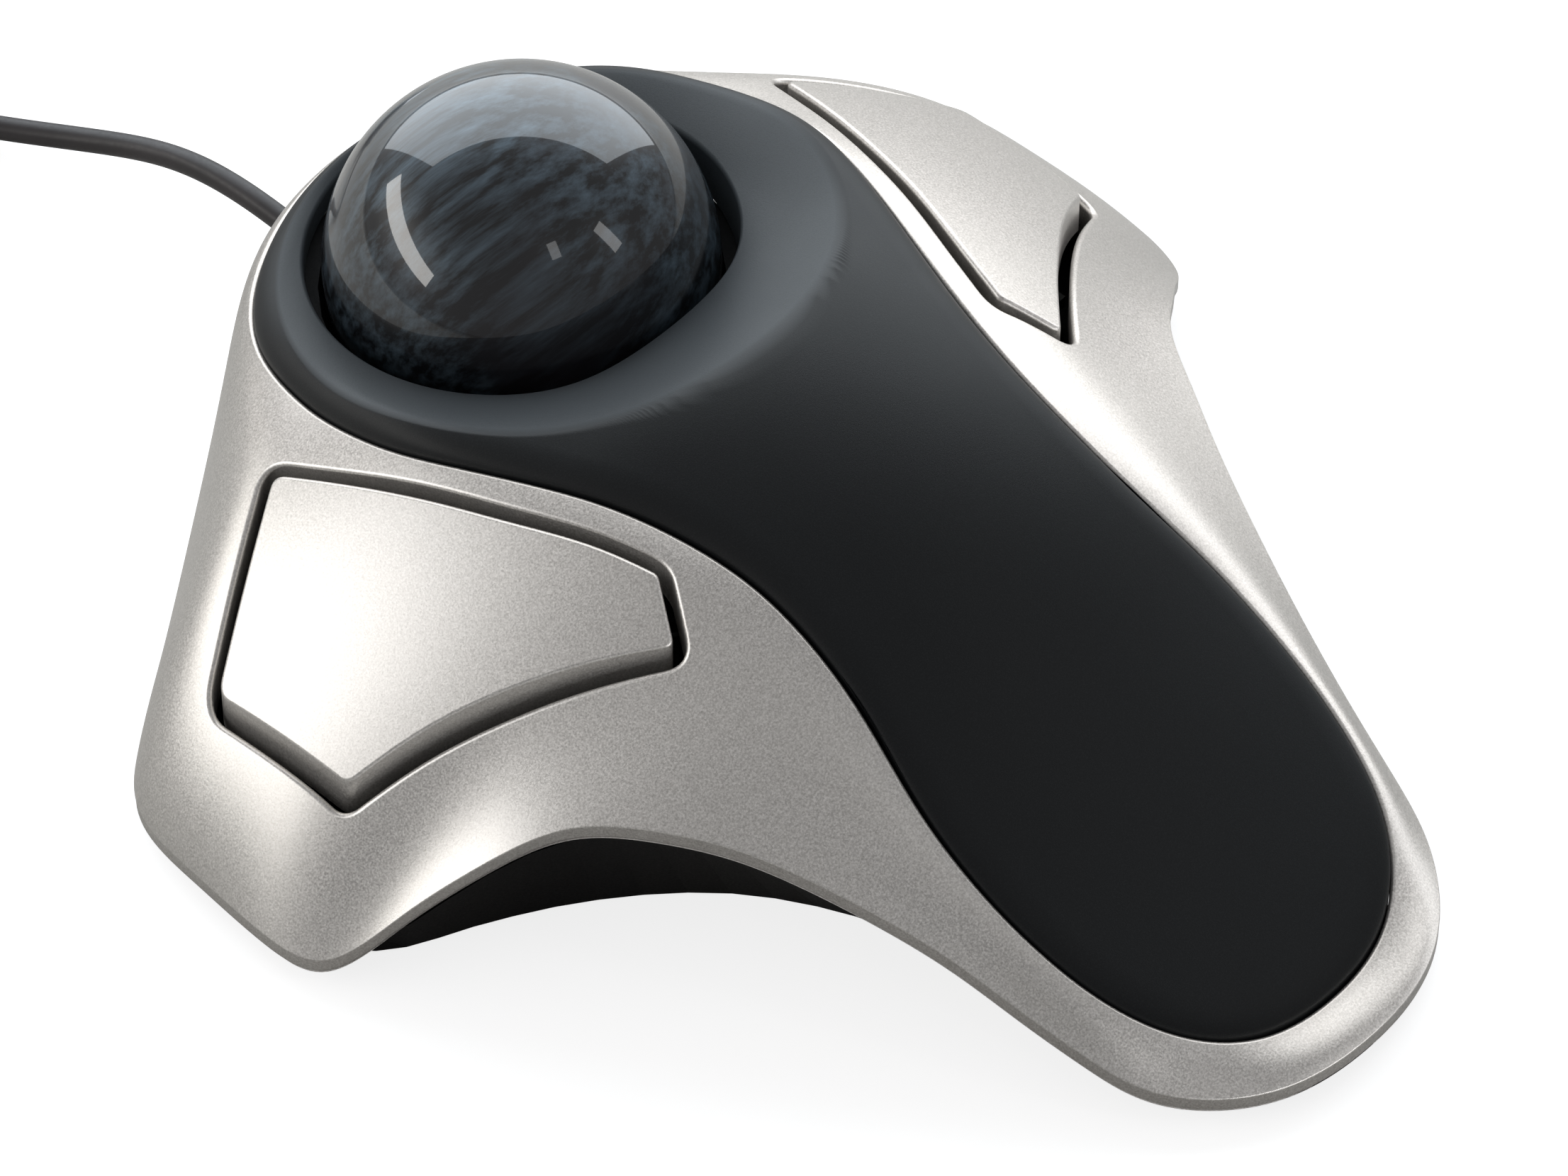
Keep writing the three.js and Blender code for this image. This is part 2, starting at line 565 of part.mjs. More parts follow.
function bottomShell() {
  const sections = [];
  for (let i = 0; i < ROUND_THE_LOOP; i += 1) {
    const { crease, foot, outward } = sectionAt(i / COLUMNS_PER_STATION);
    const meeting = crease.z - LIP_HEIGHT - BASE_GAP;
    const out = smoothstep(meeting, BASE_RIM_Z, BASE_RIM_Z + 4);
    const under = crease.clone().addScaledVector(outward, -BASE_INSET);
    const inward = foot.clone().sub(crease).setZ(0).normalize();
    const outerTop = foot.clone().lerp(under, out).setZ(Math.max(meeting, BASE_RIM_Z));
    const outerFoot = foot.clone().setZ(FLOOR_BOTTOM);
    const innerTop = outerTop.clone().addScaledVector(inward, BASE_WALL);
    const innerFoot = foot.clone().addScaledVector(inward, BASE_WALL).setZ(FLOOR_TOP);
    sections.push([outerFoot, outerTop, innerTop, innerFoot]);
  }
  const middle = new THREE.Vector3(0, -30, 0);
  const tray = cappedSolid(sections, middle.clone().setZ(FLOOR_BOTTOM), middle.clone().setZ(FLOOR_TOP));
  const bosses = BOARD_SCREWS.map(([x, y]) => cylinder(x, y, FLOOR_TOP - 1, BOARD_BOTTOM - 0.1, POST_RADIUS));
  const screws = [...caseScrewSpots, ...legSpots].flatMap(([x, y]) => [
    cylinder(x, y, FLOOR_BOTTOM - 1, FLOOR_BOTTOM + SCREW.headHeight + 0.3, SCREW.headRadius + SCREW_CLEARANCE),
    cylinder(x, y, FLOOR_BOTTOM, FLOOR_TOP + 1, SCREW.shaftRadius + SCREW_CLEARANCE, 12),
  ]);
  const boardHoles = BOARD_SCREWS.map(
    ([x, y]) => cylinder(x, y, FLOOR_BOTTOM + 1, BOARD_BOTTOM + 1, SCREW.shaftRadius + PILOT_CLEARANCE, 12),
  );
  return combined(tray, bosses, [...screws, ...boardHoles]);
}

// ---------------------------------------------------------------- buttons and switches

const switchTop = BOARD_TOP + SWITCH_SIZE[2];
const plungerTop = switchTop + PLUNGER_REACH;

function button(side) {
  const right = buttonOutline();
  const outline = side > 0 ? right : mirroredPlan(right);
  const centre = [side * BUTTON_CENTRE[0], BUTTON_CENTRE[1]];
  const underside = (x, y) => buttonTop(x, y) - BUTTON_DEPTH;
  const ceiling = (x, y) => buttonTop(x, y) - BUTTON_SKIN;
  const beyond = (x, y) => buttonTop(x, y) - BUTTON_DEPTH - 2;
  const cap = padSolid(outline, centre, buttonTop, underside, BUTTON_CHAMFER);
  const hollow = padSolid(grown(outline, -BUTTON_SKIN), centre, ceiling, beyond, 0);
  const [x, y] = [side * SWITCH_SPOT[0], SWITCH_SPOT[1]];
  const tip = plungerTop + ACTUATOR_GAP;
  const height = buttonTop(x, y) - BUTTON_SKIN / 2 - 0.8 - tip;
  const actuator = toSolid(box(x, y, tip, [...ACTUATOR_SIZE, height]));
  return fromSolid(toSolid(cap).subtract(toSolid(hollow)).add(actuator));
}

function switchBody(side) {
  const [x, y] = [side * SWITCH_SPOT[0], SWITCH_SPOT[1]];
  const well = box(x, y, switchTop - 2, [PLUNGER_SIZE[0] + 0.4, PLUNGER_SIZE[1] + 0.4, 4]);
  return combined(box(x, y, BOARD_TOP, SWITCH_SIZE), [], [well]);
}

function switchPlunger(side) {
  return box(side * SWITCH_SPOT[0], SWITCH_SPOT[1], plungerTop - PLUNGER_SIZE[2] - 0.2, [
    PLUNGER_SIZE[0], PLUNGER_SIZE[1], PLUNGER_SIZE[2] + 0.2,
  ]);
}

// ---------------------------------------------------------------- ball, cup and bearings

const bearingSpots = BEARING_ANGLES.map((angle) => {
  const fall = radians(BEARING_FALL);
  const reach = BALL_RADIUS + BEARING_RADIUS + 0.05;
  return [
    reach * Math.cos(fall) * Math.cos(radians(angle)),
    reach * Math.cos(fall) * Math.sin(radians(angle)),
    BALL_CENTRE_Z - reach * Math.sin(fall),
  ];
});

function ballCup() {
  const bowl = (radius, rimZ) => {
    const rim = Math.acos((BALL_CENTRE_Z - rimZ) / radius);
    const points = [];
    for (let i = 0; i <= CUP_STEPS; i += 1) {
      const angle = (rim * i) / CUP_STEPS;
      points.push([radius * Math.sin(angle), BALL_CENTRE_Z - radius * Math.cos(angle)]);
    }
    return turned([...points, [0, rimZ]], 32);
  };
  const outerRadius = CUP_RADIUS + CUP_WALL;
  const legTop = BALL_CENTRE_Z - Math.sqrt(outerRadius ** 2 - LEG_CIRCLE ** 2) + 1;
  const legs = legSpots.map(([x, y]) => cylinder(x, y, POST_BOTTOM, legTop, LEG_RADIUS, 16));
  const bosses = bearingSpots.map(([x, y, z]) => sphere(x, y, z, BEARING_RADIUS + 1.3, 10));
  const pockets = bearingSpots.map(([x, y, z]) => sphere(x, y, z, BEARING_RADIUS + 0.3, 10));
  const pilots = legSpots.map(([x, y]) => pilotHole(x, y));
  const window = cylinder(0, 0, 0, BALL_CENTRE_Z - BALL_RADIUS + 2, CUP_WINDOW_RADIUS, 32);
  const inside = bowl(CUP_RADIUS, CUP_RIM_Z + 1);
  return combined(bowl(outerRadius, CUP_RIM_Z), [...legs, ...bosses], [inside, window, ...pockets, ...pilots]);
}

// ---------------------------------------------------------------- board and its parts

function mainBoard() {
  const plan = [
    [-24, 16], [24, 16], [24, -8], [50, -8], [50, -29], [24, -29], [18, -40],
    [-18, -40], [-24, -29], [-50, -29], [-50, -8], [-24, -8],
  ];
  const shape = new THREE.Shape(plan.map(([x, y]) => new THREE.Vector2(x, y)));
  const board = new THREE.ExtrudeGeometry(shape, { depth: BOARD_TOP - BOARD_BOTTOM, bevelEnabled: false });
  board.translate(0, 0, BOARD_BOTTOM);
  const holes = BOARD_SCREWS.map(([x, y]) => cylinder(x, y, 0, 10, SCREW.shaftRadius + SCREW_CLEARANCE, 12));
  const legHoles = legSpots.map(([x, y]) => cylinder(x, y, 0, 10, LEG_RADIUS + 0.5));
  return combined(board, [], [...holes, ...legHoles]);
}

function lens() {
  return turned([[0, 7.8], [4.4, 7.8], [4.4, 8.4], [2.4, 8.4], [1.4, 9], [0, 9.2]], 20);
}

function lightSource() {
  const profilePoints = [[0, 0], [1.5, 0], [1.5, 0.8], [1.25, 0.8], [1.25, 3], [0.9, 4], [0, 4.4]];
  const geometry = turned(profilePoints, 16);
  geometry.rotateX(-Math.PI / 2);
  geometry.translate(0, ...LAMP_AXIS);
  return geometry;
}

function capacitor() {
  return turned([[0, 0], [2.5, 0], [2.5, 0.6], [2.3, 0.9], [2.5, 1.2], [2.5, 6.8], [2.2, 7.1], [0, 7.1]], 18);
}

function wire(index) {
  const spread = index - (WIRE_COUNT - 1) / 2;
  const start = [HEADER_SPOT[0] + 2.2 * spread, HEADER_SPOT[1] + 2.7, 11];
  const bend = [HEADER_SPOT[0] - 7 + 1.2 * spread, HEADER_SPOT[1] + 6.5, 10.6 + 0.8 * spread];
  const end = [0, 24, CABLE_HEIGHT + 1.1 * spread];
  return tube([start, bend, end], WIRE_RADIUS, 8, 3);
}

// ---------------------------------------------------------------- screws

function screw(x, y, bottom) {
  const { headRadius, headHeight, shaftRadius, length } = SCREW;
  const head = [[0, 0], [headRadius, 0], [headRadius, headHeight], [shaftRadius, headHeight]];
  const geometry = turned([...head, [shaftRadius, length - 0.6], [0.4, length], [0, length]], 12);
  geometry.translate(x, y, bottom);
  return geometry;
}

function boardScrew(x, y, top) {
  const { headRadius, headHeight, shaftRadius } = SCREW;
  const length = top - FLOOR_BOTTOM - 1.4;
  const head = [[0, 0], [headRadius, 0], [headRadius, headHeight], [shaftRadius, headHeight]];
  const geometry = turned([...head, [shaftRadius, length], [0, length]], 12);
  geometry.rotateX(Math.PI);
  geometry.translate(x, y, top);
  return geometry;
}

// ---------------------------------------------------------------- cable and plug

function strainRelief() {
  const sleeve = turned([
    [RELIEF.bore, 0], [RELIEF.flange, 0], [RELIEF.flange, 1.2], [RELIEF.neck, 1.2], [RELIEF.neck, 5.8],
    [RELIEF.tip, 9], [RELIEF.bore, 9.3], [RELIEF.bore, 0],
  ], 16);
  sleeve.rotateX(-Math.PI / 2);
  sleeve.translate(0, 24.8, CABLE_HEIGHT);
  const path = CABLE_PATH.slice(0, 4);
  return combined(sleeve, [], [tube(path, RELIEF.bore, 16, 8)]);
}

// A bar along +X with rounded long edges.
function roundedBar(startX, y, z, [length, width, thickness], radius) {
  const shape = new THREE.Shape();
  const [w, h] = [width / 2 - radius, thickness / 2 - radius];
  shape.absarc(w, h, radius, 0, Math.PI / 2);
  shape.absarc(-w, h, radius, Math.PI / 2, Math.PI);
  shape.absarc(-w, -h, radius, Math.PI, 1.5 * Math.PI);
  shape.absarc(w, -h, radius, 1.5 * Math.PI, 2 * Math.PI);
  const geometry = new THREE.ExtrudeGeometry(shape, { depth: length, curveSegments: 4, bevelEnabled: false });
  geometry.rotateX(Math.PI / 2);
  geometry.rotateZ(Math.PI / 2);
  geometry.translate(startX, y, z);
  return geometry;
}

const plugShellStart = PLUG_X + PLUG.length;

function plugShell() {
  const outerSize = [PLUG.shellLength, PLUG.shellWidth, PLUG.shellThickness];
  const outer = roundedBar(plugShellStart + 0.1, PLUG_Y, PLUG_Z, outerSize, 0.5);
  const size = [PLUG.shellLength + 4, PLUG.shellWidth - 0.8, PLUG.shellThickness - 0.8];
  const inside = roundedBar(plugShellStart - 2, PLUG_Y, PLUG_Z, size, 0.2);
  return combined(outer, [], [inside]);
}

function plugOvermould() {
  const body = roundedBar(PLUG_X, PLUG_Y, PLUG_Z, [PLUG.length, PLUG.width, PLUG.thickness], 2);
  const bore = tube([[PLUG_X - 3, PLUG_Y, PLUG_Z], [PLUG_X + 2, PLUG_Y, PLUG_Z]], CABLE_RADIUS + 0.3, 1, 8);
  return combined(body, [], [bore]);
}

function plugTongue() {
  const size = [PLUG.shellLength - 1, PLUG.shellWidth - 1.4, 1.7];
  return roundedBar(plugShellStart + 0.2, PLUG_Y, PLUG_Z + 0.8, size, 0.2);
}

// ---------------------------------------------------------------- assembly

const model = new THREE.Group();

function place(name, geometry, finish) {
  const mesh = new THREE.Mesh(geometry, new THREE.MeshStandardMaterial(finish));
  mesh.name = name;
  model.add(mesh);
}

place('top_shell', topShell(), FINISH.silver);
place('centre_cover', centreCover(), FINISH.softTouch);
place('bottom_shell', bottomShell(), FINISH.base);
place('ball', sphere(0, 0, BALL_CENTRE_Z, BALL_RADIUS, 32), FINISH.ball);
place('ball_cup', ballCup(), FINISH.cup);
bearingSpots.forEach((spot, i) => {
  place(`ball_bearing_${i + 1}`, sphere(...spot, BEARING_RADIUS, 10), FINISH.steel);
});

for (const [name, side] of [['left', -1], ['right', 1]]) {
  place(`${name}_button`, button(side), FINISH.silver);
  place(`${name}_switch_body`, switchBody(side), FINISH.chip);
  place(`${name}_switch_plunger`, switchPlunger(side), FINISH.white);
}

place('main_board', mainBoard(), FINISH.board);
place('sensor_chip', box(0, 0, BOARD_TOP, SENSOR_CHIP_SIZE), FINISH.chip);
place('sensor_lens', lens(), FINISH.clear);
place('sensor_led', lightSource(), FINISH.red);
place('controller_chip', box(...CONTROLLER_SPOT, BOARD_TOP, CONTROLLER_SIZE), FINISH.chip);
place('crystal', box(...CRYSTAL_SPOT, BOARD_TOP, CRYSTAL_SIZE), FINISH.steel);
const capacitorBody = capacitor();
capacitorBody.translate(...CAPACITOR_SPOT, BOARD_TOP);
place('capacitor', capacitorBody, FINISH.steel);
place('cable_header', box(...HEADER_SPOT, BOARD_TOP, HEADER_SIZE), FINISH.white);
place('cable_connector', box(...HEADER_SPOT, BOARD_TOP + HEADER_SIZE[2] + 0.2, CONNECTOR_SIZE), FINISH.white);
for (let i = 0; i < WIRE_COUNT; i += 1) place(`cable_wire_${i + 1}`, wire(i), FINISH.red);

const caseScrewBottom = FLOOR_BOTTOM + 0.2;
const boardScrewTop = BOARD_TOP + SCREW.headHeight + 0.05;
caseScrewSpots.forEach((spot, i) => place(`case_screw_${i + 1}`, screw(...spot, caseScrewBottom), FINISH.steel));
legSpots.forEach((spot, i) => place(`cup_screw_${i + 1}`, screw(...spot, caseScrewBottom), FINISH.steel));
BOARD_SCREWS.forEach((spot, i) => place(`board_screw_${i + 1}`, boardScrew(...spot, boardScrewTop), FINISH.steel));

for (const { name, at: [x, y], radius, stretch } of FEET) {
  const pad = cylinder(0, 0, 0, FLOOR_BOTTOM, radius, 24);
  pad.scale(stretch, 1, 1);
  pad.translate(x, y, 0);
  place(name, pad, FINISH.rubber);
}
place('underside_label', box(0, LABEL_Y, FLOOR_BOTTOM - LABEL_SIZE[2], LABEL_SIZE), FINISH.paper);

place('strain_relief', strainRelief(), FINISH.rubber);
place('cable', tube(CABLE_PATH, CABLE_RADIUS, 40, 4), FINISH.cable);
place('plug_overmould', plugOvermould(), FINISH.cable);
place('plug_shell', plugShell(), FINISH.steel);
place('plug_tongue', plugTongue(), FINISH.white);

export default model;
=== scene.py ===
"""Looks of the desktop trackball mouse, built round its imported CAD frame.

The visible outside is rebuilt finely from the same driving dimensions as the CAD, in millimetres, and scaled to
metres when each mesh is made. The screw posts and key ribs, which are hidden, aren't rebuilt. The base tray and
everything else inside the housing stay as the CAD nodes they are.
"""
import json
import math

import bpy
import numpy as np
from mathutils import Matrix, Vector
from mathutils.geometry import delaunay_2d_cdt

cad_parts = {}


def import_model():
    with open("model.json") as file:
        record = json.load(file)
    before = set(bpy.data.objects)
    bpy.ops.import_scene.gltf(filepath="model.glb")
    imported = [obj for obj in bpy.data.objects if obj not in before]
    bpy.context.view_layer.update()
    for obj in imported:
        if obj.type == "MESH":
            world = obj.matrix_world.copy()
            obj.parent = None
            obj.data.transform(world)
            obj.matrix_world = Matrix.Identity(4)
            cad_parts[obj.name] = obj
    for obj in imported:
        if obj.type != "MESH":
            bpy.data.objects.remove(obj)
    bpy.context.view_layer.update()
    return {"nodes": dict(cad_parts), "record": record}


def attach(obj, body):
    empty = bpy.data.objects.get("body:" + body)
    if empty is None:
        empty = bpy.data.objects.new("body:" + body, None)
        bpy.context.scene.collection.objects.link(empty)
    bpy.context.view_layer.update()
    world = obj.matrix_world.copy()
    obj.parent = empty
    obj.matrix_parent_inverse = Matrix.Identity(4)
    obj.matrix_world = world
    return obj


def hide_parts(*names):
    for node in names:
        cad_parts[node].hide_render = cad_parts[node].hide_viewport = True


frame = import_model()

MM = 0.001

# ---------------------------------------------------------------- driving dimensions, in millimetres

BALL_RADIUS = 20.0
BALL_Z = 29.8
BALL_SEGMENTS = 160
BALL_RINGS = 96
PEARL_DIRECTION = (0.82, -0.33, 0.45)
HOLE_RADIUS = 21.8
HOLE_FLAT_Y = -20.8
HOLE_CORNER = 12
HOLE_RIM_Z = 32.2
HOLE_RIM_TILT = -0.12

# Half-outline sections through the shell, from the middle of the back, round the right wing, to the palm end:
# rim x, y | crease x, y, z | foot x, y | slope at rim and crease in degrees | how far each slope carries.
STATIONS = [
    (0, 24.6, 0, 31, 3.8, 0, 28, 30, 84, 0.08, 0.55),
    (10.5, 22.9, 13, 28.8, 3.8, 11.8, 26, 30, 81, 0.10, 0.55),
    (20, 18, 24.3, 21.4, 3.8, 22.4, 19, 30, 76, 0.12, 0.55),
    (26.2, 11.2, 39.2, 10.8, 3.8, 36.8, 8.8, 25, 72, 0.22, 0.50),
    (29, 3.5, 52.4, 1.6, 3.8, 49.8, -0.8, 18, 72, 0.30, 0.43),
    (30.1, -3.5, 61.2, -5.8, 3.8, 57.8, -8, 20, 75, 0.27, 0.31),
    (29.9, -11.5, 63.5, -16, 3.8, 60, -17, 22.4, 70.6, 0.18, 0.31),
    (28, -19, 64.2, -26, 3.8, 60.4, -26.5, 20.3, 58.9, 0.18, 0.38),
    (25.6, -25.5, 62.4, -33.4, 4, 58.6, -32.2, 14.7, 53.2, 0.13, 0.56),
    (23.3, -31.5, 56.6, -38.2, 9.7, 54.4, -36.2, 11.5, 46, 0.17, 0.64),
    (21.3, -37.5, 50.3, -43, 15.8, 48.2, -39.2, 8.8, 38.2, 0.24, 0.64),
    (19.7, -44, 44, -48.1, 19.8, 41, -43.3, 8.8, 34.7, 0.27, 0.58),
    (18.8, -51, 39.2, -54.8, 20.9, 34, -48.6, 12.3, 35.9, 0.26, 0.57),
    (18.9, -58.5, 35.2, -61.6, 20.3, 28, -54.8, 13.7, 38.5, 0.26, 0.55),
    (19.8, -65.5, 32, -68.4, 18.5, 23.5, -62, 15, 41.3, 0.29, 0.49),
    (21.2, -73, 29.2, -75.4, 16.1, 20.6, -69.5, 17, 44.5, 0.32, 0.42),
    (21.7, -81, 26.8, -82.4, 13.3, 19.4, -78.5, 19, 48, 0.36, 0.36),
    (21.1, -88.5, 24.9, -89.4, 10, 18.6, -87, 17, 46, 0.36, 0.36),
    (19.2, -96, 23, -96.6, 7, 17.6, -94.5, 15, 44, 0.36, 0.36),
    (15.2, -102.4, 19.8, -103.8, 4.6, 15.4, -101, 14, 43, 0.36, 0.36),
    (8.5, -106.7, 11.6, -110.8, 3.8, 9.4, -107, 13, 42, 0.36, 0.36),
    (0, -108, 0, -113.1, 3.8, 0, -109, 13, 42, 0.36, 0.36),
]
SIDEWAYS = [0, 2, 5]
RIDGE = [
    (-108, 5.1), (-99.6, 10.1), (-92.7, 14), (-84.7, 18.8), (-75.4, 24.6), (-63.3, 32.2), (-52, 37.7),
    (-41.2, 40.9), (-31.5, 42), (-23.6, 41.4), (-12.3, 39.6), (0, 35.8), (7.8, 33.3), (20.5, 29.2), (24.6, 28),
]
CROWN = [
    (-108, 0.003), (-99.6, 0.003), (-84.7, 0.0052), (-63.3, 0.009), (-52, 0.0105), (-41.2, 0.0105),
    (-31.5, 0.0085), (-23.6, 0.0066), (-12.3, 0.0056), (0, 0.005), (7.8, 0.0045), (24.6, 0.004),
]

SHELL_THICKNESS = 1.9
LIP_HEIGHT = 1.9
RIM_RADIUS = 0.45
CREASE_RADIUS = 0.3
LIP_RADIUS = 0.45

COVER_GAP = 0.4
COVER_THICKNESS = 2.0
COVER_ROLL = 3.0
COVER_PROUD_PALM = 1.0
COVER_PROUD_BALL = 2.2
COVER_PROUD_SPAN = (-28, -6)
COVER_EXTRA_DEPTH = 0.4
COVER_ROWS = 90
DISH_CENTRE_Y = -5.5
DISH_RADIUS = 28.4
DISH_POWER = 1.15
HOLE_EDGE_RADIUS = 0.7
HOLE_EDGE_SHARE = 0.55
HOLE_SPREAD = 0.4
HOLE_SKIRT_Z = 27.2
HOLE_SKIRT_WALL = 0.9

# Right key: corners A (back inner) to E (back outer), with the curved stretches between them.
KEY_EDGES = [
    [(36.4, -1.7), (34.6, -8.4), (31.6, -18.8), (29, -27.3), (26.1, -35.5), (24.3, -41.8)],
    [(24.3, -41.8), (27.7, -47.2)],
    [(27.7, -47.2), (33.2, -42), (39.2, -36.9), (45.6, -32.2), (53.2, -27.9)],
    [(53.2, -27.9), (53.9, -10.8)],
    [(53.9, -10.8), (36.4, -1.7)],
]
KEY_CORNER_RADII = (1.2, 0.5, 1.0, 0.7, 1.4)
KEY_EDGE_RADIUS = 0.45
KEY_TOP = (40.96, -0.0835, -0.4153, -0.00693, 0.00305, -0.00751)
KEY_DEPTH = 5.0
KEY_SKIN = 1.8
KEY_INSIDE_SHARE = 0.9
KEY_GRID = 0.8
KEY_GRID_CLEARANCE = 0.35
OPENING_MARGINS = (1.15, 1.25, 1.2, 1.2, 0.95)
OPENING_CORNER_RADII = (2.4, 1.6, 2.0, 1.4, 2.4)
OPENING_EDGE_RADIUS = 0.5
OPENING_SKIRT = 4.2
OPENING_SKIRT_WIDTH = 0.8
OPENING_CLEARANCE = 0.3

FLOOR_BOTTOM = 1.0
LABEL_Y = -46.0
LABEL_SIZE = (34.0, 20.0, 0.2)
SCREW_FACE_Z = 1.2
SCREW_HEAD_RADIUS = 2.1
SCREW_HEAD_HEIGHT = 1.2
SCREW_SHANK_RADIUS = 0.95
SCREW_TIP_RADIUS = 0.4
SCREW_LENGTH = 7
RECESS_DEPTH = 0.75
RECESS_WIDTH_EASE = (0.24, 0.36)
RECESS_LENGTH_EASE = (1.05, 1.35)
RECESS_RINGS = [0.12, 0.25, 0.4, 0.55, 0.7, 0.85, 1.0, 1.15, 1.3, 1.5, 1.75]
CUP_LEG_CIRCLE = 19.0
SCREW_SPOTS = {
    "case_screw_1": (-33.5, 4.5), "case_screw_2": (33.5, 4.5), "case_screw_3": (-25, -50.5),
    "case_screw_4": (25, -50.5), "case_screw_5": (0, -84),
}
for number, angle in enumerate((90, 210, 330), 1):
    turn = math.radians(angle)
    SCREW_SPOTS[f"cup_screw_{number}"] = (CUP_LEG_CIRCLE * math.cos(turn), CUP_LEG_CIRCLE * math.sin(turn))
FEET = {
    "foot_wing_left": (-48, -20, 6, 1), "foot_wing_right": (48, -20, 6, 1),
    "foot_rear_left": (-20, 14, 4.5, 1), "foot_rear_right": (20, 14, 4.5, 1),
    "foot_palm": (0, -97, 5, 2),
}
FOOT_HEIGHT = 1
FOOT_GROOVE_DEPTH = 0.12

CABLE_RADIUS = 1.3
CABLE_PATH = [
    (0, 24.5, 9.8), (0, 31, 9.8), (0.2, 38, 9.8), (0.3, 45, 9.2), (0, 53, 7.2), (-2, 62, 4.4), (-6, 72, 2.3),
    (-10.5, 83, 1.6), (-11, 94, 2), (-4, 103, 3.2), (8, 105.1, 4.4), (17, 105.1, 4.4),
]
CABLE_SIDES = 28
CABLE_SPACING = 0.6
RELIEF_FOOT = (0, 24.8, 9.8)
RELIEF_FLANGE = (3.8, 1.2)
RELIEF_NECK_RADIUS = 2.4
RELIEF_NECK_END = 5.4
RELIEF_RIBS = 3
RELIEF_RIB_START = 6.0
RELIEF_RIB_RADIUS = 2.2
RELIEF_RIB_TAPER = 0.15
RELIEF_RIB_DEPTH = 0.2
RELIEF_TIP_RADIUS = 1.72
RELIEF_LENGTH = 9.3
PLUG_X = 18.0
PLUG_CENTRE = (105.1, 4.4)
PLUG_SIZE = (16.0, 8.0, 24.0)
PLUG_CORNER_RADIUS = 2.2
PLUG_RIBS = 4
PLUG_RIB_START = 4
PLUG_RIB_PITCH = 1.8
PLUG_RIB_DEPTH = 0.5
PLUG_SHELL_SIZE = (12.0, 4.5, 12.1)
PLUG_SHELL_RADIUS = 0.5
PLUG_SHELL_WALL = 0.4

CRISP_ANGLE = 32
COLUMNS_PER_STATION = 12
SECTION_ROWS = 44


# ---------------------------------------------------------------- curves

def closed_slopes(rows):
    """Slopes at each row of the smooth closed curve through the rows."""
    ring = np.eye(len(rows))
    matrix = 4 * ring + np.roll(ring, 1, 0) + np.roll(ring, -1, 0)
    return np.linalg.solve(matrix, 3 * (np.roll(rows, -1, 0) - np.roll(rows, 1, 0)))


def smooth_profile(points):
    """Height as a smooth function of position, through (position, height) points."""
    x, y = np.array(points, float).T
    step = np.diff(x)
    matrix = np.eye(len(x))
    right = np.zeros(len(x))
    for i in range(1, len(x) - 1):
        matrix[i, i - 1:i + 2] = step[i - 1], 2 * (step[i - 1] + step[i]), step[i]
        right[i] = 6 * ((y[i + 1] - y[i]) / step[i] - (y[i] - y[i - 1]) / step[i - 1])
    bend = np.linalg.solve(matrix, right)

    def height(position):
        i = np.clip(np.searchsorted(x, position) - 1, 0, len(step) - 1)
        a = (x[i + 1] - position) / step[i]
        b = 1 - a
        curl = ((a ** 3 - a) * bend[i] + (b ** 3 - b) * bend[i + 1]) * step[i] ** 2 / 6
        return a * y[i] + b * y[i + 1] + curl

    return height


def smoothstep(x, low, high):
    t = np.clip((x - low) / (high - low), 0, 1)
    return t * t * (3 - 2 * t)


def unit(v):
    return v / np.linalg.norm(v, axis=-1, keepdims=True)


def lift(plan, z):
    return np.concatenate([plan, np.broadcast_to(z, plan.shape[:-1])[..., None]], axis=-1)


ridge_at = smooth_profile(RIDGE)
crown_at = smooth_profile(CROWN)


def rim_height(x, y):
    y = np.clip(y, RIDGE[0][0], RIDGE[-1][0])
    return ridge_at(y) - crown_at(y) * x * x


def mirrored_loop(rows):
    right = np.array(rows, float)
    left = right[-2:0:-1].copy()
    left[:, SIDEWAYS] *= -1
    return np.vstack([right, left])


LOOP = mirrored_loop(STATIONS)
LOOP_SLOPES = closed_slopes(LOOP)


def station_at(u):
    """Every column of the station table at place u round the loop."""
    u = np.asarray(u, float)
    i = np.floor(u).astype(int)
    t = (u - i)[..., None]
    a, b = LOOP[i % len(LOOP)], LOOP[(i + 1) % len(LOOP)]
    ma, mb = LOOP_SLOPES[i % len(LOOP)], LOOP_SLOPES[(i + 1) % len(LOOP)]
    value = a + t * ma + t ** 2 * (3 * (b - a) - 2 * ma - mb) + t ** 3 * (2 * (a - b) + ma + mb)
    return np.moveaxis(value, -1, 0)


def section_controls(u):
    rx, ry, cx, cy, cz, _, _, rim_slope, crease_slope, rim_pull, crease_pull = station_at(u)
    rim = np.stack([rx, ry, rim_height(rx, ry)], -1)
    crease = np.stack([cx, cy, cz], -1)
    outward = unit(crease[..., :2] - rim[..., :2])
    length = np.linalg.norm(crease - rim, axis=-1)

    def along(slope, distance):
        slope = np.radians(slope)
        return lift(outward * (np.cos(slope) * distance)[..., None], -np.sin(slope) * distance)

    return rim, rim + along(rim_slope, rim_pull * length), crease - along(crease_slope, crease_pull * length), crease


def surface(u, t):
    a, b, c, d = section_controls(u)
    t = np.asarray(t, float)[..., None]
    return a * (1 - t) ** 3 + b * 3 * t * (1 - t) ** 2 + c * 3 * t ** 2 * (1 - t) + d * t ** 3


def surface_slopes(u, t):
    step = 1e-3
    around = (surface(u + step, t) - surface(u - step, t)) / (2 * step)
    down = (surface(u, t + step) - surface(u, t - step)) / (2 * step)
    return around, down


def surface_normal(u, t):
    around, down = surface_slopes(u, t)
    normal = unit(np.cross(down, around))
    return normal * np.where(normal[..., 2:] < 0, -1, 1)


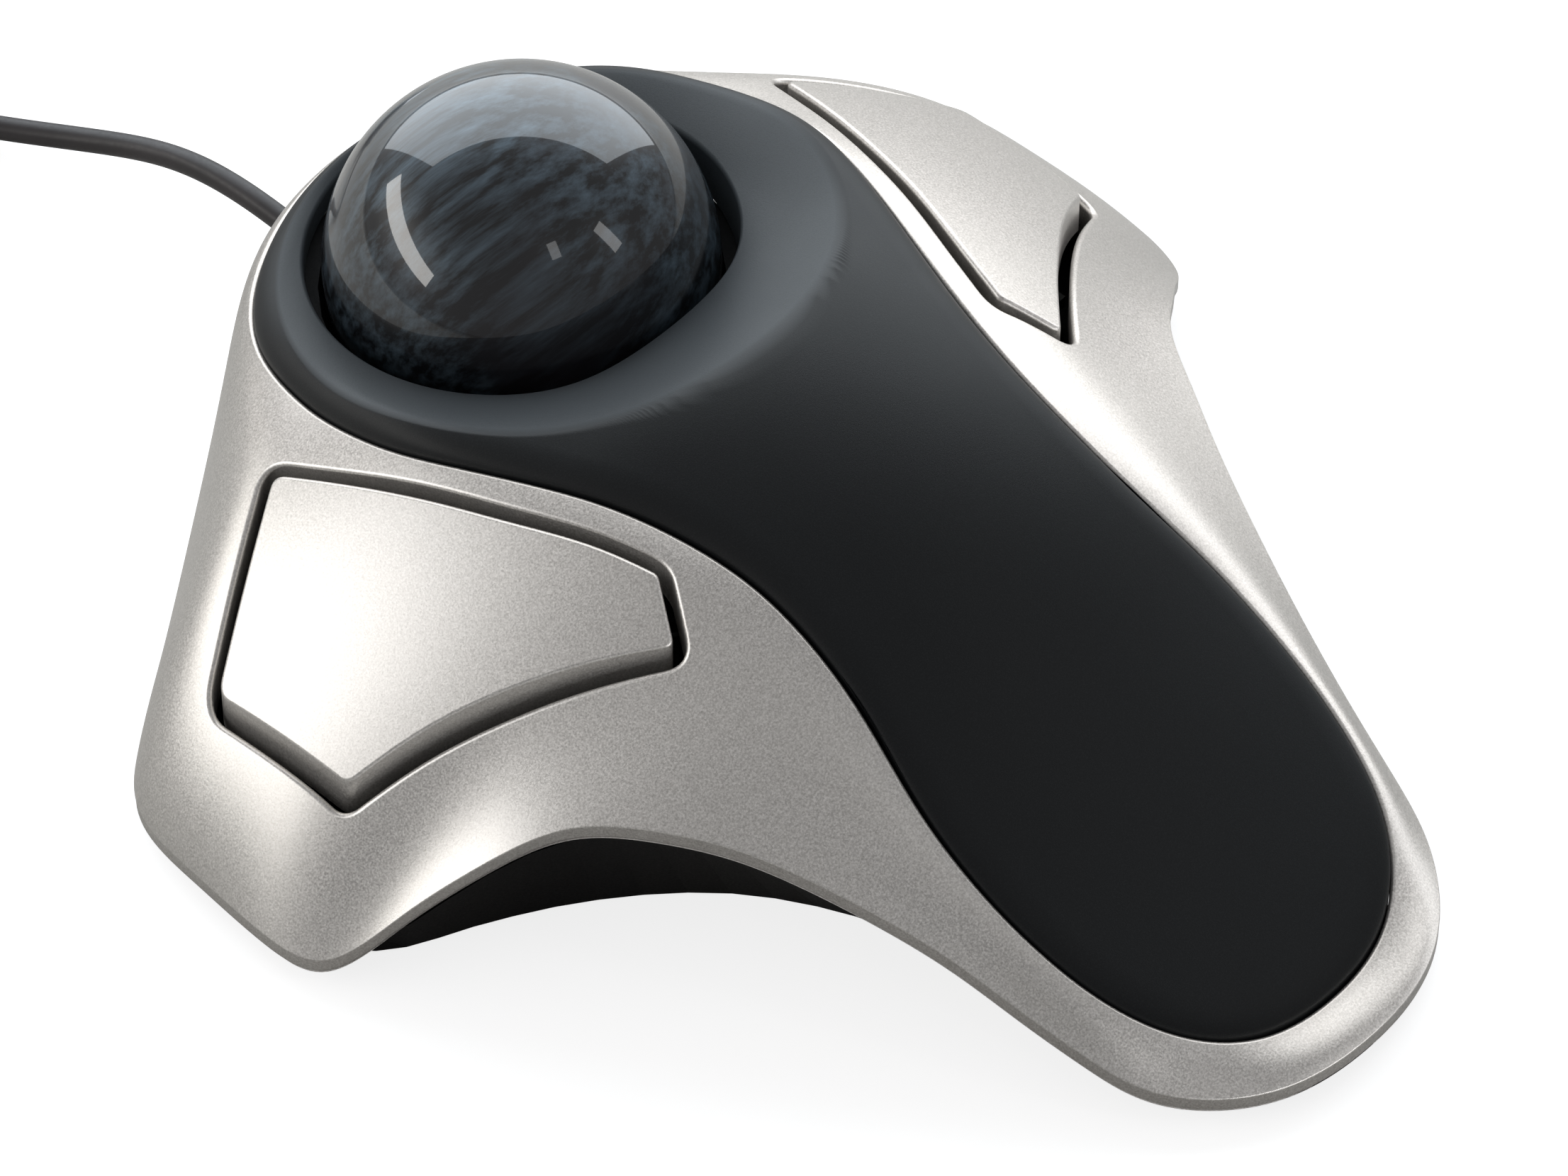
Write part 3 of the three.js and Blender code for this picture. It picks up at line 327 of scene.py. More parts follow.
def locate(plan):
    """The (u, t) of plan points on the right half of the shell."""
    grid_u, grid_t = np.meshgrid(np.linspace(1, 20, 153), np.linspace(0, 1, 41), indexing="ij")
    known = surface(grid_u, grid_t)[..., :2].reshape(-1, 2)
    nearest = np.array([np.argmin(((known - p) ** 2).sum(1)) for p in plan])
    u, t = grid_u.ravel()[nearest].copy(), grid_t.ravel()[nearest].copy()
    for _ in range(8):
        miss = plan - surface(u, t)[..., :2]
        around, down = surface_slopes(u, t)
        scale = around[:, 0] * down[:, 1] - around[:, 1] * down[:, 0]
        u += (miss[:, 0] * down[:, 1] - miss[:, 1] * down[:, 0]) / scale
        t += (around[:, 0] * miss[:, 1] - around[:, 1] * miss[:, 0]) / scale
        t = np.clip(t, -0.05, 1.05)
    return u, t


# ---------------------------------------------------------------- mesh building

class Sheet:
    """Vertices with their own normals, and faces, gathered loop by loop."""

    def __init__(self):
        self.points, self.normals, self.faces, self.count = [], [], [], 0

    def add(self, points, normals):
        points = np.asarray(points, float)
        shape = points.shape[:-1]
        self.points.append(points.reshape(-1, 3))
        self.normals.append(np.broadcast_to(normals, points.shape).reshape(-1, 3))
        index = np.arange(self.count, self.count + self.points[-1].shape[0]).reshape(shape)
        self.count += self.points[-1].shape[0]
        return index

    def bridge(self, first, second, closed=True):
        """Quads between two rows of vertices of one length."""
        ends = (np.roll(first, -1), np.roll(second, -1)) if closed else (first[1:], second[1:])
        starts = (first, second) if closed else (first[:-1], second[:-1])
        self.faces += [list(f) for f in zip(starts[0], ends[0], ends[1], starts[1])]

    def stack(self, rows, closed=True):
        for first, second in zip(rows[:-1], rows[1:]):
            self.bridge(first, second, closed)

    def arrays(self):
        return np.vstack(self.points), np.vstack(self.normals), self.faces


def mirror_arrays(points, normals, faces):
    """The right half joined to its mirror image across x = 0."""
    flip = np.array([-1, 1, 1])
    on_seam = np.abs(points[:, 0]) < 1e-4
    index = np.arange(len(points)) + np.where(on_seam, 0, len(points))
    faces = faces + [[int(index[i]) for i in reversed(face)] for face in faces]
    return np.vstack([points, points * flip]), np.vstack([normals, normals * flip]), faces


def make_mesh(name, points, normals, faces, material):
    """A smooth object in metres from points in millimetres. Unused points are dropped."""
    used = np.unique(np.concatenate([np.array(face) for face in faces]))
    place = np.full(len(points), -1)
    place[used] = np.arange(len(used))
    mesh = bpy.data.meshes.new(name)
    mesh.from_pydata((points[used] * MM).tolist(), [], [[int(place[i]) for i in face] for face in faces])
    mesh.validate()
    mesh.shade_smooth()
    if normals is not None:
        mesh.normals_split_custom_set_from_vertices(unit(normals[used]).tolist())
    mesh.materials.append(material)
    obj = bpy.data.objects.new(name, mesh)
    bpy.context.scene.collection.objects.link(obj)
    return obj


def fillet(contact, normal, wall, radius, steps):
    """Rows of a rounded edge from a surface, where its normal is given, to a wall that faces along wall."""
    centre = contact - radius * normal
    dot = np.clip((normal * wall).sum(-1, keepdims=True), -1, 1)
    angle = np.arccos(dot)
    rows = []
    for k in range(1, steps + 1):
        share = k / steps
        facing = (np.sin((1 - share) * angle) * normal + np.sin(share * angle) * wall) / np.sin(angle)
        rows.append((centre + radius * facing, facing))
    return rows


def add_fillet(sheet, contact, normal, wall, radius, steps=5, ends_on_seam=False):
    """Adds the rows of a rounded edge. Gives their numbers and the points of the last one."""
    rows = []
    for points, normals in fillet(contact, normal, wall, radius, steps):
        if ends_on_seam:
            points[[0, -1], 0] = 0
        rows.append(sheet.add(points, normals))
    return rows, points


def inside(polygon, points):
    """Which points lie inside a closed plan outline."""
    a, b = polygon, np.roll(polygon, -1, 0)
    x, y = points[:, 0, None], points[:, 1, None]
    crosses = (a[:, 1] > y) != (b[:, 1] > y)
    rise = np.where(b[:, 1] == a[:, 1], 1e-12, b[:, 1] - a[:, 1])
    meets = x < (b[:, 0] - a[:, 0]) * (y - a[:, 1]) / rise + a[:, 0]
    return (crosses & meets).sum(1) % 2 == 1


def distance_to(outline, points):
    a, b = outline, np.roll(outline, -1, 0)
    edge = b - a
    share = ((points[:, None] - a) * edge).sum(-1) / np.maximum((edge ** 2).sum(-1), 1e-12)
    nearest = a + np.clip(share, 0, 1)[..., None] * edge
    return np.linalg.norm(points[:, None] - nearest, axis=-1).min(1)


def triangulate(plan, loops, keep):
    """Triangles over plan points that respect the closed loops (lists of point numbers)."""
    edges = [(int(a), int(b)) for loop in loops for a, b in zip(loop, np.roll(loop, -1))]
    result = delaunay_2d_cdt([Vector(p) for p in plan], edges, [], 0, 1e-7)
    source = [origin[0] for origin in result[3]]
    faces = np.array([[source[i] for i in face] for face in result[2]])
    middles = plan[faces].mean(1)
    a, b, c = (plan[faces[:, k]] for k in range(3))
    area = np.cross(b - a, c - a)
    faces = np.where((area < 0)[:, None], faces[:, ::-1], faces)
    return faces[keep(middles) & (np.abs(area) > 1e-7)]


# ---------------------------------------------------------------- key outline

def open_curve(points, spacing=0.5):
    """Points at an even spacing along the smooth curve through a few points."""
    points = np.array(points, float)
    if len(points) == 2:
        count = max(int(np.linalg.norm(points[1] - points[0]) / spacing), 2)
        return points[0] + np.linspace(0, 1, count + 1)[:, None] * (points[1] - points[0])
    travel = np.concatenate([[0], np.cumsum(np.linalg.norm(np.diff(points, axis=0), axis=1))])
    place = np.linspace(0, travel[-1], int(travel[-1] / spacing) + 1)
    return np.stack([smooth_profile(list(zip(travel, points[:, k])))(place) for k in range(points.shape[1])], -1)


def key_polyline():
    """The key's outline with sharp corners, and the number of each corner point."""
    points, corners = [], []
    for edge in KEY_EDGES:
        corners.append(len(points))
        points += list(open_curve(edge)[:-1])
    return np.array(points), corners


def grown(points, margins):
    """Each point moved outward, square to the outline, by its margin. The outline runs clockwise."""
    before, after = np.roll(points, 1, 0), np.roll(points, -1, 0)
    arriving, leaving = unit(points - before), unit(after - points)
    push = np.stack([-(arriving + leaving)[:, 1], (arriving + leaving)[:, 0]], -1)
    area = (points[:, 0] * after[:, 1] - after[:, 0] * points[:, 1]).sum()
    scale = -np.sign(area) * np.asarray(margins) / (1 + (arriving * leaving).sum(1))
    return points + push * scale[:, None]


def rounded(points, corners, radii, steps=8):
    """The outline with each corner replaced by an arc that starts about a radius away from it."""
    total = len(points)
    cuts = {}
    for corner, radius in zip(corners, radii):
        reach = []
        for direction in (-1, 1):
            k = corner
            while np.linalg.norm(points[k % total] - points[corner]) < radius:
                k += direction
            reach.append(k)
        cuts[corner] = reach
    out = []
    order = sorted(cuts)
    for corner, following in zip(order, order[1:] + [order[0] + total]):
        start, end = cuts[corner]
        a, b, c = points[start % total], points[corner], points[end % total]
        t = np.linspace(0, 1, steps + 1)[:, None]
        out += list(a * (1 - t) ** 2 + b * 2 * t * (1 - t) + c * t ** 2)
        stop = cuts[following % total][0] + (total if following >= total else 0)
        out += [points[k % total] for k in range(end + 1, stop)]
    return np.array(out)


def inward_directions(outline):
    """Unit plan directions square to a closed outline, pointing into it."""
    along = unit(np.roll(outline, -1, 0) - np.roll(outline, 1, 0))
    side = np.stack([along[:, 1], -along[:, 0]], -1)
    following = np.roll(outline, -1, 0)
    area = (outline[:, 0] * following[:, 1] - following[:, 0] * outline[:, 1]).sum()
    return side if area < 0 else -side


sharp_key, KEY_CORNERS = key_polyline()
corner_places = KEY_CORNERS + [len(sharp_key)]
margins = np.interp(np.arange(len(sharp_key)), corner_places, OPENING_MARGINS + OPENING_MARGINS[:1])
KEY_OUTLINE = rounded(sharp_key, KEY_CORNERS, KEY_CORNER_RADII)
OPENING_OUTLINE = rounded(grown(sharp_key, margins), KEY_CORNERS, OPENING_CORNER_RADII)


def key_top(plan):
    level, x1, y1, x2, xy, y2 = KEY_TOP
    x, y = plan[..., 0], plan[..., 1]
    z = level + x1 * x + y1 * y + x2 * x * x + xy * x * y + y2 * y * y
    slope = np.stack([-(x1 + 2 * x2 * x + xy * y), -(y1 + xy * x + 2 * y2 * y), np.ones_like(x)], -1)
    return lift(plan, z), unit(slope)


# ---------------------------------------------------------------- silver top shell

def shell_contact(outline, into):
    """Where a rounded edge of the opening leaves the shell's surface, with the surface there."""
    contact = outline - OPENING_EDGE_RADIUS * into
    for _ in range(3):
        u, t = locate(contact)
        normal = surface_normal(u, t)
        contact = outline - OPENING_EDGE_RADIUS * into + OPENING_EDGE_RADIUS * normal[:, :2]
    u, t = locate(contact)
    return u, t


def shell_half():
    sheet = Sheet()
    columns = np.linspace(0, len(STATIONS) - 1, (len(STATIONS) - 1) * COLUMNS_PER_STATION + 1)
    a, b, c, d = section_controls(columns)
    rim_reach = 3 * np.linalg.norm(b - a, axis=-1)
    crease_reach = 3 * np.linalg.norm(d - c, axis=-1)
    rim_normal = surface_normal(columns, np.full_like(columns, 1e-3))
    outward = unit(d[:, :2] - a[:, :2])
    rim_tangent = np.gradient(a[:, :2], axis=0)
    toward_cover = unit(np.stack([rim_tangent[:, 1], -rim_tangent[:, 0]], -1))
    toward_cover *= -np.sign((toward_cover * outward).sum(-1, keepdims=True))
    lean = (rim_normal[:, :2] * -toward_cover).sum(-1)
    t_start = RIM_RADIUS * (1 - lean) / rim_reach
    slope = np.radians(station_at(columns)[8])
    t_end = 1 - CREASE_RADIUS * np.tan((math.pi / 2 - slope) / 2) / crease_reach
    t = t_start[:, None] + (t_end - t_start)[:, None] * np.linspace(0, 1, SECTION_ROWS + 1)
    u = np.broadcast_to(columns[:, None], t.shape)
    points, normals = surface(u, t), surface_normal(u, t)
    points[0, :, 0] = points[-1, :, 0] = 0
    grid = sheet.add(points, normals)
    places = [np.stack([u.ravel(), t.ravel()], -1)]

    # The block of the grid round the opening is triangulated afresh, with the opening left out.
    first, last = 2 * COLUMNS_PER_STATION, 12 * COLUMNS_PER_STATION + 6
    bottom = SECTION_ROWS - 6
    for j in range(SECTION_ROWS):
        if j >= bottom:
            sheet.bridge(grid[:, j], grid[:, j + 1], closed=False)
        else:
            sheet.bridge(grid[:first + 1, j], grid[:first + 1, j + 1], closed=False)
            sheet.bridge(grid[last:, j], grid[last:, j + 1], closed=False)
    into = inward_directions(OPENING_OUTLINE)
    hole_u, hole_t = shell_contact(OPENING_OUTLINE, into)
    hole_points, hole_normals = surface(hole_u, hole_t), surface_normal(hole_u, hole_t)
    hole = sheet.add(hole_points, hole_normals)
    places.append(np.stack([hole_u, hole_t], -1))
    block = grid[first:last + 1, :bottom + 1]
    border = np.concatenate([block[:-1, 0], block[-1, :-1], block[:0:-1, -1], block[0, :0:-1]])
    inner = block[1:-1, 1:-1].ravel()
    everything = np.vstack(sheet.points)[:, :2]
    hole_plan = hole_points[:, :2]
    clear = ~inside(hole_plan, everything[inner]) & (distance_to(hole_plan, everything[inner]) > OPENING_CLEARANCE)
    chosen = np.concatenate([border, inner[clear], hole])
    plan = everything[chosen]
    loops = [np.arange(len(border)), np.arange(len(chosen) - len(hole), len(chosen))]
    border_plan = everything[border]
    faces = triangulate(plan, loops, lambda p: inside(border_plan, p) & ~inside(hole_plan, p))
    outer_faces = sheet.faces + [[int(chosen[i]) for i in face] for face in faces]

    # The inside face follows the outside one at the shell's thickness, down to the level of the lip.
    outer_points, outer_normals, _ = sheet.arrays()
    place = np.vstack(places)
    steep = smoothstep(outer_normals[:, 2], 0.6, 0.35)[:, None]
    straight = np.array([0, 0, 1]) / np.maximum(outer_normals[:, 2:], 0.3)
    inner_points = outer_points - SHELL_THICKNESS * (steep * outer_normals + (1 - steep) * straight)
    lip_level = station_at(place[:, 0])[4] - LIP_HEIGHT
    inner_points[:, 2] = np.maximum(inner_points[:, 2], lip_level)
    inner_points[np.abs(outer_points[:, 0]) < 1e-4, 0] = 0
    outer_count = sheet.count
    sheet.add(inner_points, -outer_normals)
    sheet.faces = outer_faces + [[i + outer_count for i in reversed(face)] for face in outer_faces]

    # Rounded edge beside the cover, then its wall down to the inside face.
    wall = lift(toward_cover, 0)
    rolled, edge = add_fillet(sheet, points[:, 0], normals[:, 0], wall, RIM_RADIUS, ends_on_seam=True)
    foot = edge.copy()
    foot[:, 2] = inner_points[grid[:, 0], 2]
    rows = [grid[:, 0], *rolled, sheet.add(foot, wall), grid[:, 0] + outer_count]
    sheet.stack(rows[::-1], closed=False)

    # Crease, then the upright lip with its rounded lower edge.
    wall = lift(outward, 0)
    rolled, edge = add_fillet(sheet, points[:, -1], normals[:, -1], wall, CREASE_RADIUS, 4, ends_on_seam=True)
    down = np.zeros_like(wall)
    down[:, 2] = -1
    above = edge.copy()
    above[:, 2] = d[:, 2] - LIP_HEIGHT + LIP_RADIUS
    rows = [grid[:, -1], *rolled, sheet.add(above, wall)]
    rows += add_fillet(sheet, above, wall, down, LIP_RADIUS, 4, ends_on_seam=True)[0]
    rows.append(grid[:, -1] + outer_count)
    sheet.stack(rows, closed=False)

    # Rounded edge of the opening for the key, then its wall.
    wall = lift(into, 0)
    rolled, edge = add_fillet(sheet, hole_points, hole_normals, wall, OPENING_EDGE_RADIUS)
    foot = edge - np.array([0, 0, OPENING_SKIRT])
    behind = foot - OPENING_SKIRT_WIDTH * wall
    rows = [hole, *rolled, sheet.add(foot, wall), sheet.add(behind, (0, 0, -1)), hole + outer_count]
    sheet.stack(rows)
    return sheet.arrays()


# ---------------------------------------------------------------- soft-touch cover

def hole_reach(ey):
    """Distance from the ball's axis to the hole's edge: a circle with a flat on the palm side."""
    flat = HOLE_FLAT_Y / np.where(ey < -1e-6, ey, -1e-6)
    both = (HOLE_RADIUS ** -HOLE_CORNER + flat ** -float(HOLE_CORNER)) ** (-1 / HOLE_CORNER)
    return np.where(ey < 0, both, HOLE_RADIUS)


def dish_reach(ey):
    along = DISH_CENTRE_Y * ey
    return along + np.sqrt(along ** 2 - DISH_CENTRE_Y ** 2 + DISH_RADIUS ** 2)


def proud_at(y):
    """How far the cover stands above the shell's rim."""
    return COVER_PROUD_PALM + (COVER_PROUD_BALL - COVER_PROUD_PALM) * smoothstep(y, *COVER_PROUD_SPAN)


def cover_height(plan, from_edge):
    """Height of the cover's face, and how far into the ball's dish each point is, from 0 to 1."""
    x, y = plan[..., 0], plan[..., 1]
    distance = np.maximum(np.hypot(x, y), 1e-6)
    ex, ey = x / distance, y / distance
    hole = hole_reach(ey)
    share = np.clip((distance - hole) / (dish_reach(ey) - hole), 0, 1)
    edge_x, edge_y = ex * hole, ey * hole
    depth = rim_height(edge_x, edge_y) + proud_at(edge_y) - HOLE_RIM_Z - HOLE_RIM_TILT * edge_y
    dip = np.maximum(depth, 0) * (1 - share) ** DISH_POWER
    roll = 1 - np.clip(from_edge / COVER_ROLL, 0, 1)
    return rim_height(x, y) + proud_at(y) * np.sqrt(1 - roll ** 2) - dip, 1 - share


def cover_arrays():
    columns = np.arange(0, len(LOOP), 1 / COLUMNS_PER_STATION)
    rim = section_controls(columns)[0][:, :2]
    into = inward_directions(rim)
    edge = rim + COVER_GAP * into
    around = np.unwrap(np.arctan2(edge[:, 0], edge[:, 1]))
    step = np.linalg.norm(np.diff(edge, axis=0, append=edge[:1]), axis=-1)
    evenly = 2 * np.pi * (np.cumsum(step) - step) / step.sum()
    around += HOLE_SPREAD * (evenly - around)
    ray = np.stack([np.sin(around), np.cos(around)], -1)
    contact = ray * (hole_reach(ray[:, 1]) + HOLE_EDGE_RADIUS * HOLE_EDGE_SHARE)[:, None]
    travel = contact - edge
    row = np.arange(COVER_ROWS + 1) / COVER_ROWS
    packed_at_edge = row ** 3 * 0.3 + row ** 1.5 * 0.7
    plan = edge[:, None] + travel[:, None] * packed_at_edge[None, :, None]
    from_edge = np.stack([distance_to(edge, plan[:, k]) for k in range(COVER_ROWS + 1)], -1)
    z, dish = cover_height(plan, from_edge)
    top = lift(plan, z)
    normals = unit(np.cross(np.gradient(top, axis=1), np.roll(top, -1, 0) - np.roll(top, 1, 0)))
    normals *= np.where(normals[..., 2:] < 0, -1, 1)
    normals[:, 0] = lift(-into, 0.05)
    sheet = Sheet()
    grid = sheet.add(top, normals)
    sheet.stack(list(grid.T[::-1]))
    wall = lift(-ray, 0)
    rolled, hole_edge = add_fillet(sheet, top[:, -1], normals[:, -1], wall, HOLE_EDGE_RADIUS)
    hole_foot = hole_edge.copy()
    hole_foot[:, 2] = HOLE_SKIRT_Z
    rolled += [sheet.add(hole_foot, wall), sheet.add(hole_foot - HOLE_SKIRT_WALL * wall, (0, 0, -1))]
    under = top - np.array([0, 0, COVER_THICKNESS + COVER_EXTRA_DEPTH])
    below = sheet.add(under, -normals)
    sheet.stack([grid[:, -1], *rolled, below[:, -1]][::-1])
    sheet.stack(list(below.T))
    sheet.bridge(grid[:, 0], below[:, 0])
    points, normals, faces = sheet.arrays()
    # Painted sheen weight: 0 to 1 going into the dish, and 1 on the hole's rounded edge and skirt. The material
    # colours these places paler in place of reflected light.
    sheen_weight = np.zeros(len(points))
    sheen_weight[grid] = dish
    sheen_weight[np.concatenate(rolled)] = 1
    return points, normals, faces, sheen_weight


# ---------------------------------------------------------------- keys

def key_arrays():
    """The right key: its face, rounded edge, side wall, and the hollow below."""
    sheet = Sheet()
    outline = KEY_OUTLINE
    into = inward_directions(outline)
    contact = outline + KEY_EDGE_RADIUS * into
    for _ in range(2):
        normal = key_top(contact)[1]
        contact = outline + KEY_EDGE_RADIUS * (into + normal[:, :2])
    low, high = contact.min(0), contact.max(0)
    columns, rows = np.arange(low[0], high[0], KEY_GRID), np.arange(low[1], high[1], KEY_GRID)
    lattice = np.stack(np.meshgrid(columns, rows), -1).reshape(-1, 2)
    lattice = lattice[inside(contact, lattice) & (distance_to(contact, lattice) > KEY_GRID_CLEARANCE)]
    plan = np.vstack([contact, lattice])
    faces = triangulate(plan, [np.arange(len(contact))], lambda p: inside(contact, p))
    points, normals = key_top(plan)
    top = sheet.add(points, normals)
    sheet.faces += [[int(top[i]) for i in face] for face in faces]
    wall = lift(-into, 0)
    rim = slice(len(contact))
    rolled, _ = add_fillet(sheet, points[rim], normals[rim], wall, KEY_EDGE_RADIUS)
    foot = key_top(outline)[0] - np.array([0, 0, KEY_DEPTH])
    rows = [top[rim], *rolled, sheet.add(foot, wall)]
    centre = outline.mean(0)
    inset = centre + (outline - centre) * KEY_INSIDE_SHARE
    inner_foot = key_top(inset)[0] - np.array([0, 0, KEY_DEPTH])
    rows.append(sheet.add(inner_foot, (0, 0, -1)))
    inner_top = key_top(inset)[0] - np.array([0, 0, KEY_SKIN])
    rows.append(sheet.add(inner_top, (0, 0, -1)))
    sheet.stack(rows[::-1])
    middle = int(sheet.add(key_top(centre[None])[0] - np.array([0, 0, KEY_SKIN]), (0, 0, -1))[0])
    sheet.faces += [[int(b), int(a), middle] for a, b in zip(rows[-1], np.roll(rows[-1], -1))]
    return sheet.arrays()


# ---------------------------------------------------------------- materials

def color(*rgb):
    return (*rgb, 1)


class Nodes:
    """A small helper that adds and joins shader nodes."""

    def __init__(self, name):
        self.material = bpy.data.materials.new(name)
        self.material.use_nodes = True
        self.tree = self.material.node_tree
        self.shader = self.tree.nodes["Principled BSDF"]
        self.where = self.add("ShaderNodeTexCoord").outputs["Object"]

    def add(self, kind, **inputs):
        node = self.tree.nodes.new(kind)
        for key, value in inputs.items():
            self.feed(node, key.replace("_", " "), value)
        return node

    def feed(self, node, key, value):
        """Joins a socket, or sets a plain value, at a named or numbered input."""
        if isinstance(value, bpy.types.NodeSocket):
            self.tree.links.new(value, node.inputs[key])
        else:
            node.inputs[key].default_value = value

    def set(self, **inputs):
        for key, value in inputs.items():
            self.feed(self.shader, key.replace("_", " "), value)

    def noise(self, scale, detail=2.0, rough=0.5, vector=None):
        return self.add("ShaderNodeTexNoise", Vector=vector or self.where, Scale=scale, Detail=detail,
                        Roughness=rough).outputs["Fac"]

    def span(self, value, low, high, start=0.0, end=1.0):
        """The value stretched from start..end to low..high."""
        node = self.tree.nodes.new("ShaderNodeMapRange")
        for key, item in enumerate((value, start, end, low, high)):
            self.feed(node, key, item)
        return node.outputs["Result"]

    def blend(self, share, first, second):
        """A mix of two colours, the second at share 1."""
        node = self.tree.nodes.new("ShaderNodeMix")
        node.data_type = "RGBA"
        for key, item in ((0, share), (6, first), (7, second)):
            self.feed(node, key, item)
        return node.outputs[2]

    def bump(self, height, strength, distance):
        node = self.add("ShaderNodeBump", Height=height, Strength=strength, Distance=distance)
        self.set(Normal=node.outputs["Normal"])


def silver_paint():
    """Metallic paint: bright flecks of aluminium under a thin clear coat."""
    n = Nodes("silver_paint")
    fleck = n.noise(4600, 2, 0.7)
    drift = n.noise(60, 3)
    base = n.blend(n.span(fleck, 0, 1, 0.3, 0.7), color(0.42, 0.405, 0.385), color(0.68, 0.66, 0.635))
    base = n.blend(n.span(drift, 0, 0.12), base, color(0.63, 0.61, 0.58))
    n.set(Base_Color=base, Metallic=0.85, Roughness=n.span(fleck, 0.34, 0.46, 0.3, 0.7))
    n.set(Coat_Weight=0.15, Coat_Roughness=0.2)
    n.bump(fleck, 0.12, 0.00008)
    return n.material


def soft_touch():
    """Charcoal soft-touch coat with painted sheen: paler in the ball's dish, where the concave face would catch light
    from behind and above.
    """
    n = Nodes("soft_touch")
    grain = n.noise(6500, 2, 0.6)
    drift = n.noise(45, 3)
    dish = n.add("ShaderNodeAttribute")
    dish.attribute_name = "dish"
    # Painted sheen: the dish and the hole's edge are coloured paler in place of the light they would reflect.
    share = n.span(dish.outputs["Fac"], 0, 1, 0.0, 0.12)
    base = n.blend(share, color(0.006, 0.007, 0.008), color(0.055, 0.062, 0.068))
    base = n.blend(n.span(grain, 0, 0.35, 0.45, 0.75), base, color(0.022, 0.024, 0.026))
    n.set(Base_Color=base, Roughness=n.span(drift, 0.44, 0.52, 0.3, 0.7), Specular_IOR_Level=0.32)
    n.bump(grain, 0.2, 0.00006)
    return n.material


def ball_resin():
    """Black resin with fine blue pearl drawn out in slanting strands, under a polished face."""
    n = Nodes("ball_resin")
    turn = Vector(PEARL_DIRECTION).rotation_difference(Vector((0, 0, 1))).to_euler()
    turned_to = n.add("ShaderNodeMapping", Vector=n.where, Rotation=tuple(turn))
    drawn = n.add("ShaderNodeMapping", Vector=turned_to.outputs["Vector"], Scale=(1, 1, 0.09))
    strand = n.noise(620, 5, 0.65, drawn.outputs["Vector"])
    cloud = n.noise(55, 3)
    pearl = n.blend(n.span(strand, 0, 1, 0.42, 0.72), color(0.0025, 0.003, 0.004), color(0.09, 0.13, 0.165))
    base = n.blend(n.span(cloud, 0, 0.9, 0.45, 0.66), pearl, color(0.012, 0.009, 0.012))
    n.set(Base_Color=base, Metallic=0.35, Roughness=n.span(strand, 0.28, 0.42, 0.3, 0.7), Coat_Weight=1.0)
    n.set(Coat_Roughness=0.03, Coat_IOR=1.6)
    return n.material


def moulded(name, base, rough, grain_size=4200, grain=0.15, drift_amount=0.25, shine=0.5):
    """Moulded or coated surface with a fine grain and slow drifts of tone and gloss."""
    n = Nodes(name)
    fine = n.noise(grain_size, 3, 0.6)
    drift = n.noise(90, 3)
    darker = color(*(c * (1 - drift_amount) for c in base))
    lighter = color(*(min(c * (1 + drift_amount), 1) for c in base))
    n.set(Base_Color=n.blend(n.span(drift, 0, 1, 0.35, 0.65), darker, lighter), Specular_IOR_Level=shine)
    n.set(Roughness=n.span(fine, max(rough - 0.07, 0.03), min(rough + 0.07, 1), 0.3, 0.7))
    n.bump(fine, grain, 0.00005)
    return n.material


def brushed_steel(name="steel", base=(0.55, 0.55, 0.56), rough=0.3):
    n = Nodes(name)
    turn = n.add("ShaderNodeMapping", Vector=n.where, Scale=(1, 0.06, 1))
    brush = n.noise(3500, 3, 0.6, turn.outputs["Vector"])
    shade = n.blend(n.span(brush, 0, 1, 0.3, 0.7), color(*(c * 0.8 for c in base)), color(*base))
    n.set(Base_Color=shade, Metallic=1.0, Roughness=n.span(brush, rough - 0.08, rough + 0.1, 0.3, 0.7))
    n.bump(brush, 0.08, 0.00004)
    return n.material


def clear_lens():
    n = Nodes("clear_lens")
    haze = n.noise(300, 2)
    n.set(Base_Color=color(0.9, 0.93, 0.95), Roughness=n.span(haze, 0.03, 0.08), Transmission_Weight=0.95)
    return n.material


MATERIALS = {
    "silver_paint": silver_paint(),
    "soft_touch": soft_touch(),
    "ball_resin": ball_resin(),
    "base_black": moulded("base_black", (0.004, 0.004, 0.0045), 0.5, shine=0.16),
    "cup_black": moulded("cup_black", (0.004, 0.004, 0.0045), 0.6, shine=0.15),
    "rubber_black": moulded("rubber_black", (0.012, 0.012, 0.012), 0.75, 2600, 0.3),
    "cable_jacket": moulded("cable_jacket", (0.026, 0.022, 0.023), 0.45, 2600, 0.2),
    "wire_jacket": moulded("wire_jacket", (0.42, 0.03, 0.02), 0.4),
    "circuit_board": moulded("circuit_board", (0.004, 0.012, 0.008), 0.35),
    "chip_black": moulded("chip_black", (0.012, 0.012, 0.013), 0.55),
    "white_nylon": moulded("white_nylon", (0.72, 0.70, 0.65), 0.5, drift_amount=0.06),
    "clear_lens": clear_lens(),
    "red_lamp": moulded("red_lamp", (0.5, 0.02, 0.02), 0.15),
    "steel": brushed_steel(),
    "can_aluminium": brushed_steel("can_aluminium", (0.68, 0.69, 0.7), 0.35),
    "label_grey": moulded("label_grey", (0.42, 0.42, 0.41), 0.4, drift_amount=0.05),
}

# ---------------------------------------------------------------- assembly

SLOT_OF = {row["node"]: row["material_slot"] for row in frame["record"]["subparts"]}
BODY_OF = {node: body for body, nodes in frame["record"]["behaviour"]["bodies"].items() for node in nodes}


def piece(node, points, normals, faces):
    """A fine piece that takes the place, the body and the finish of a CAD node."""
    obj = make_mesh(f"{node}_surface", points, normals, faces, MATERIALS[SLOT_OF[node]])
    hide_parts(node)
    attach(obj, BODY_OF[node])
    return obj


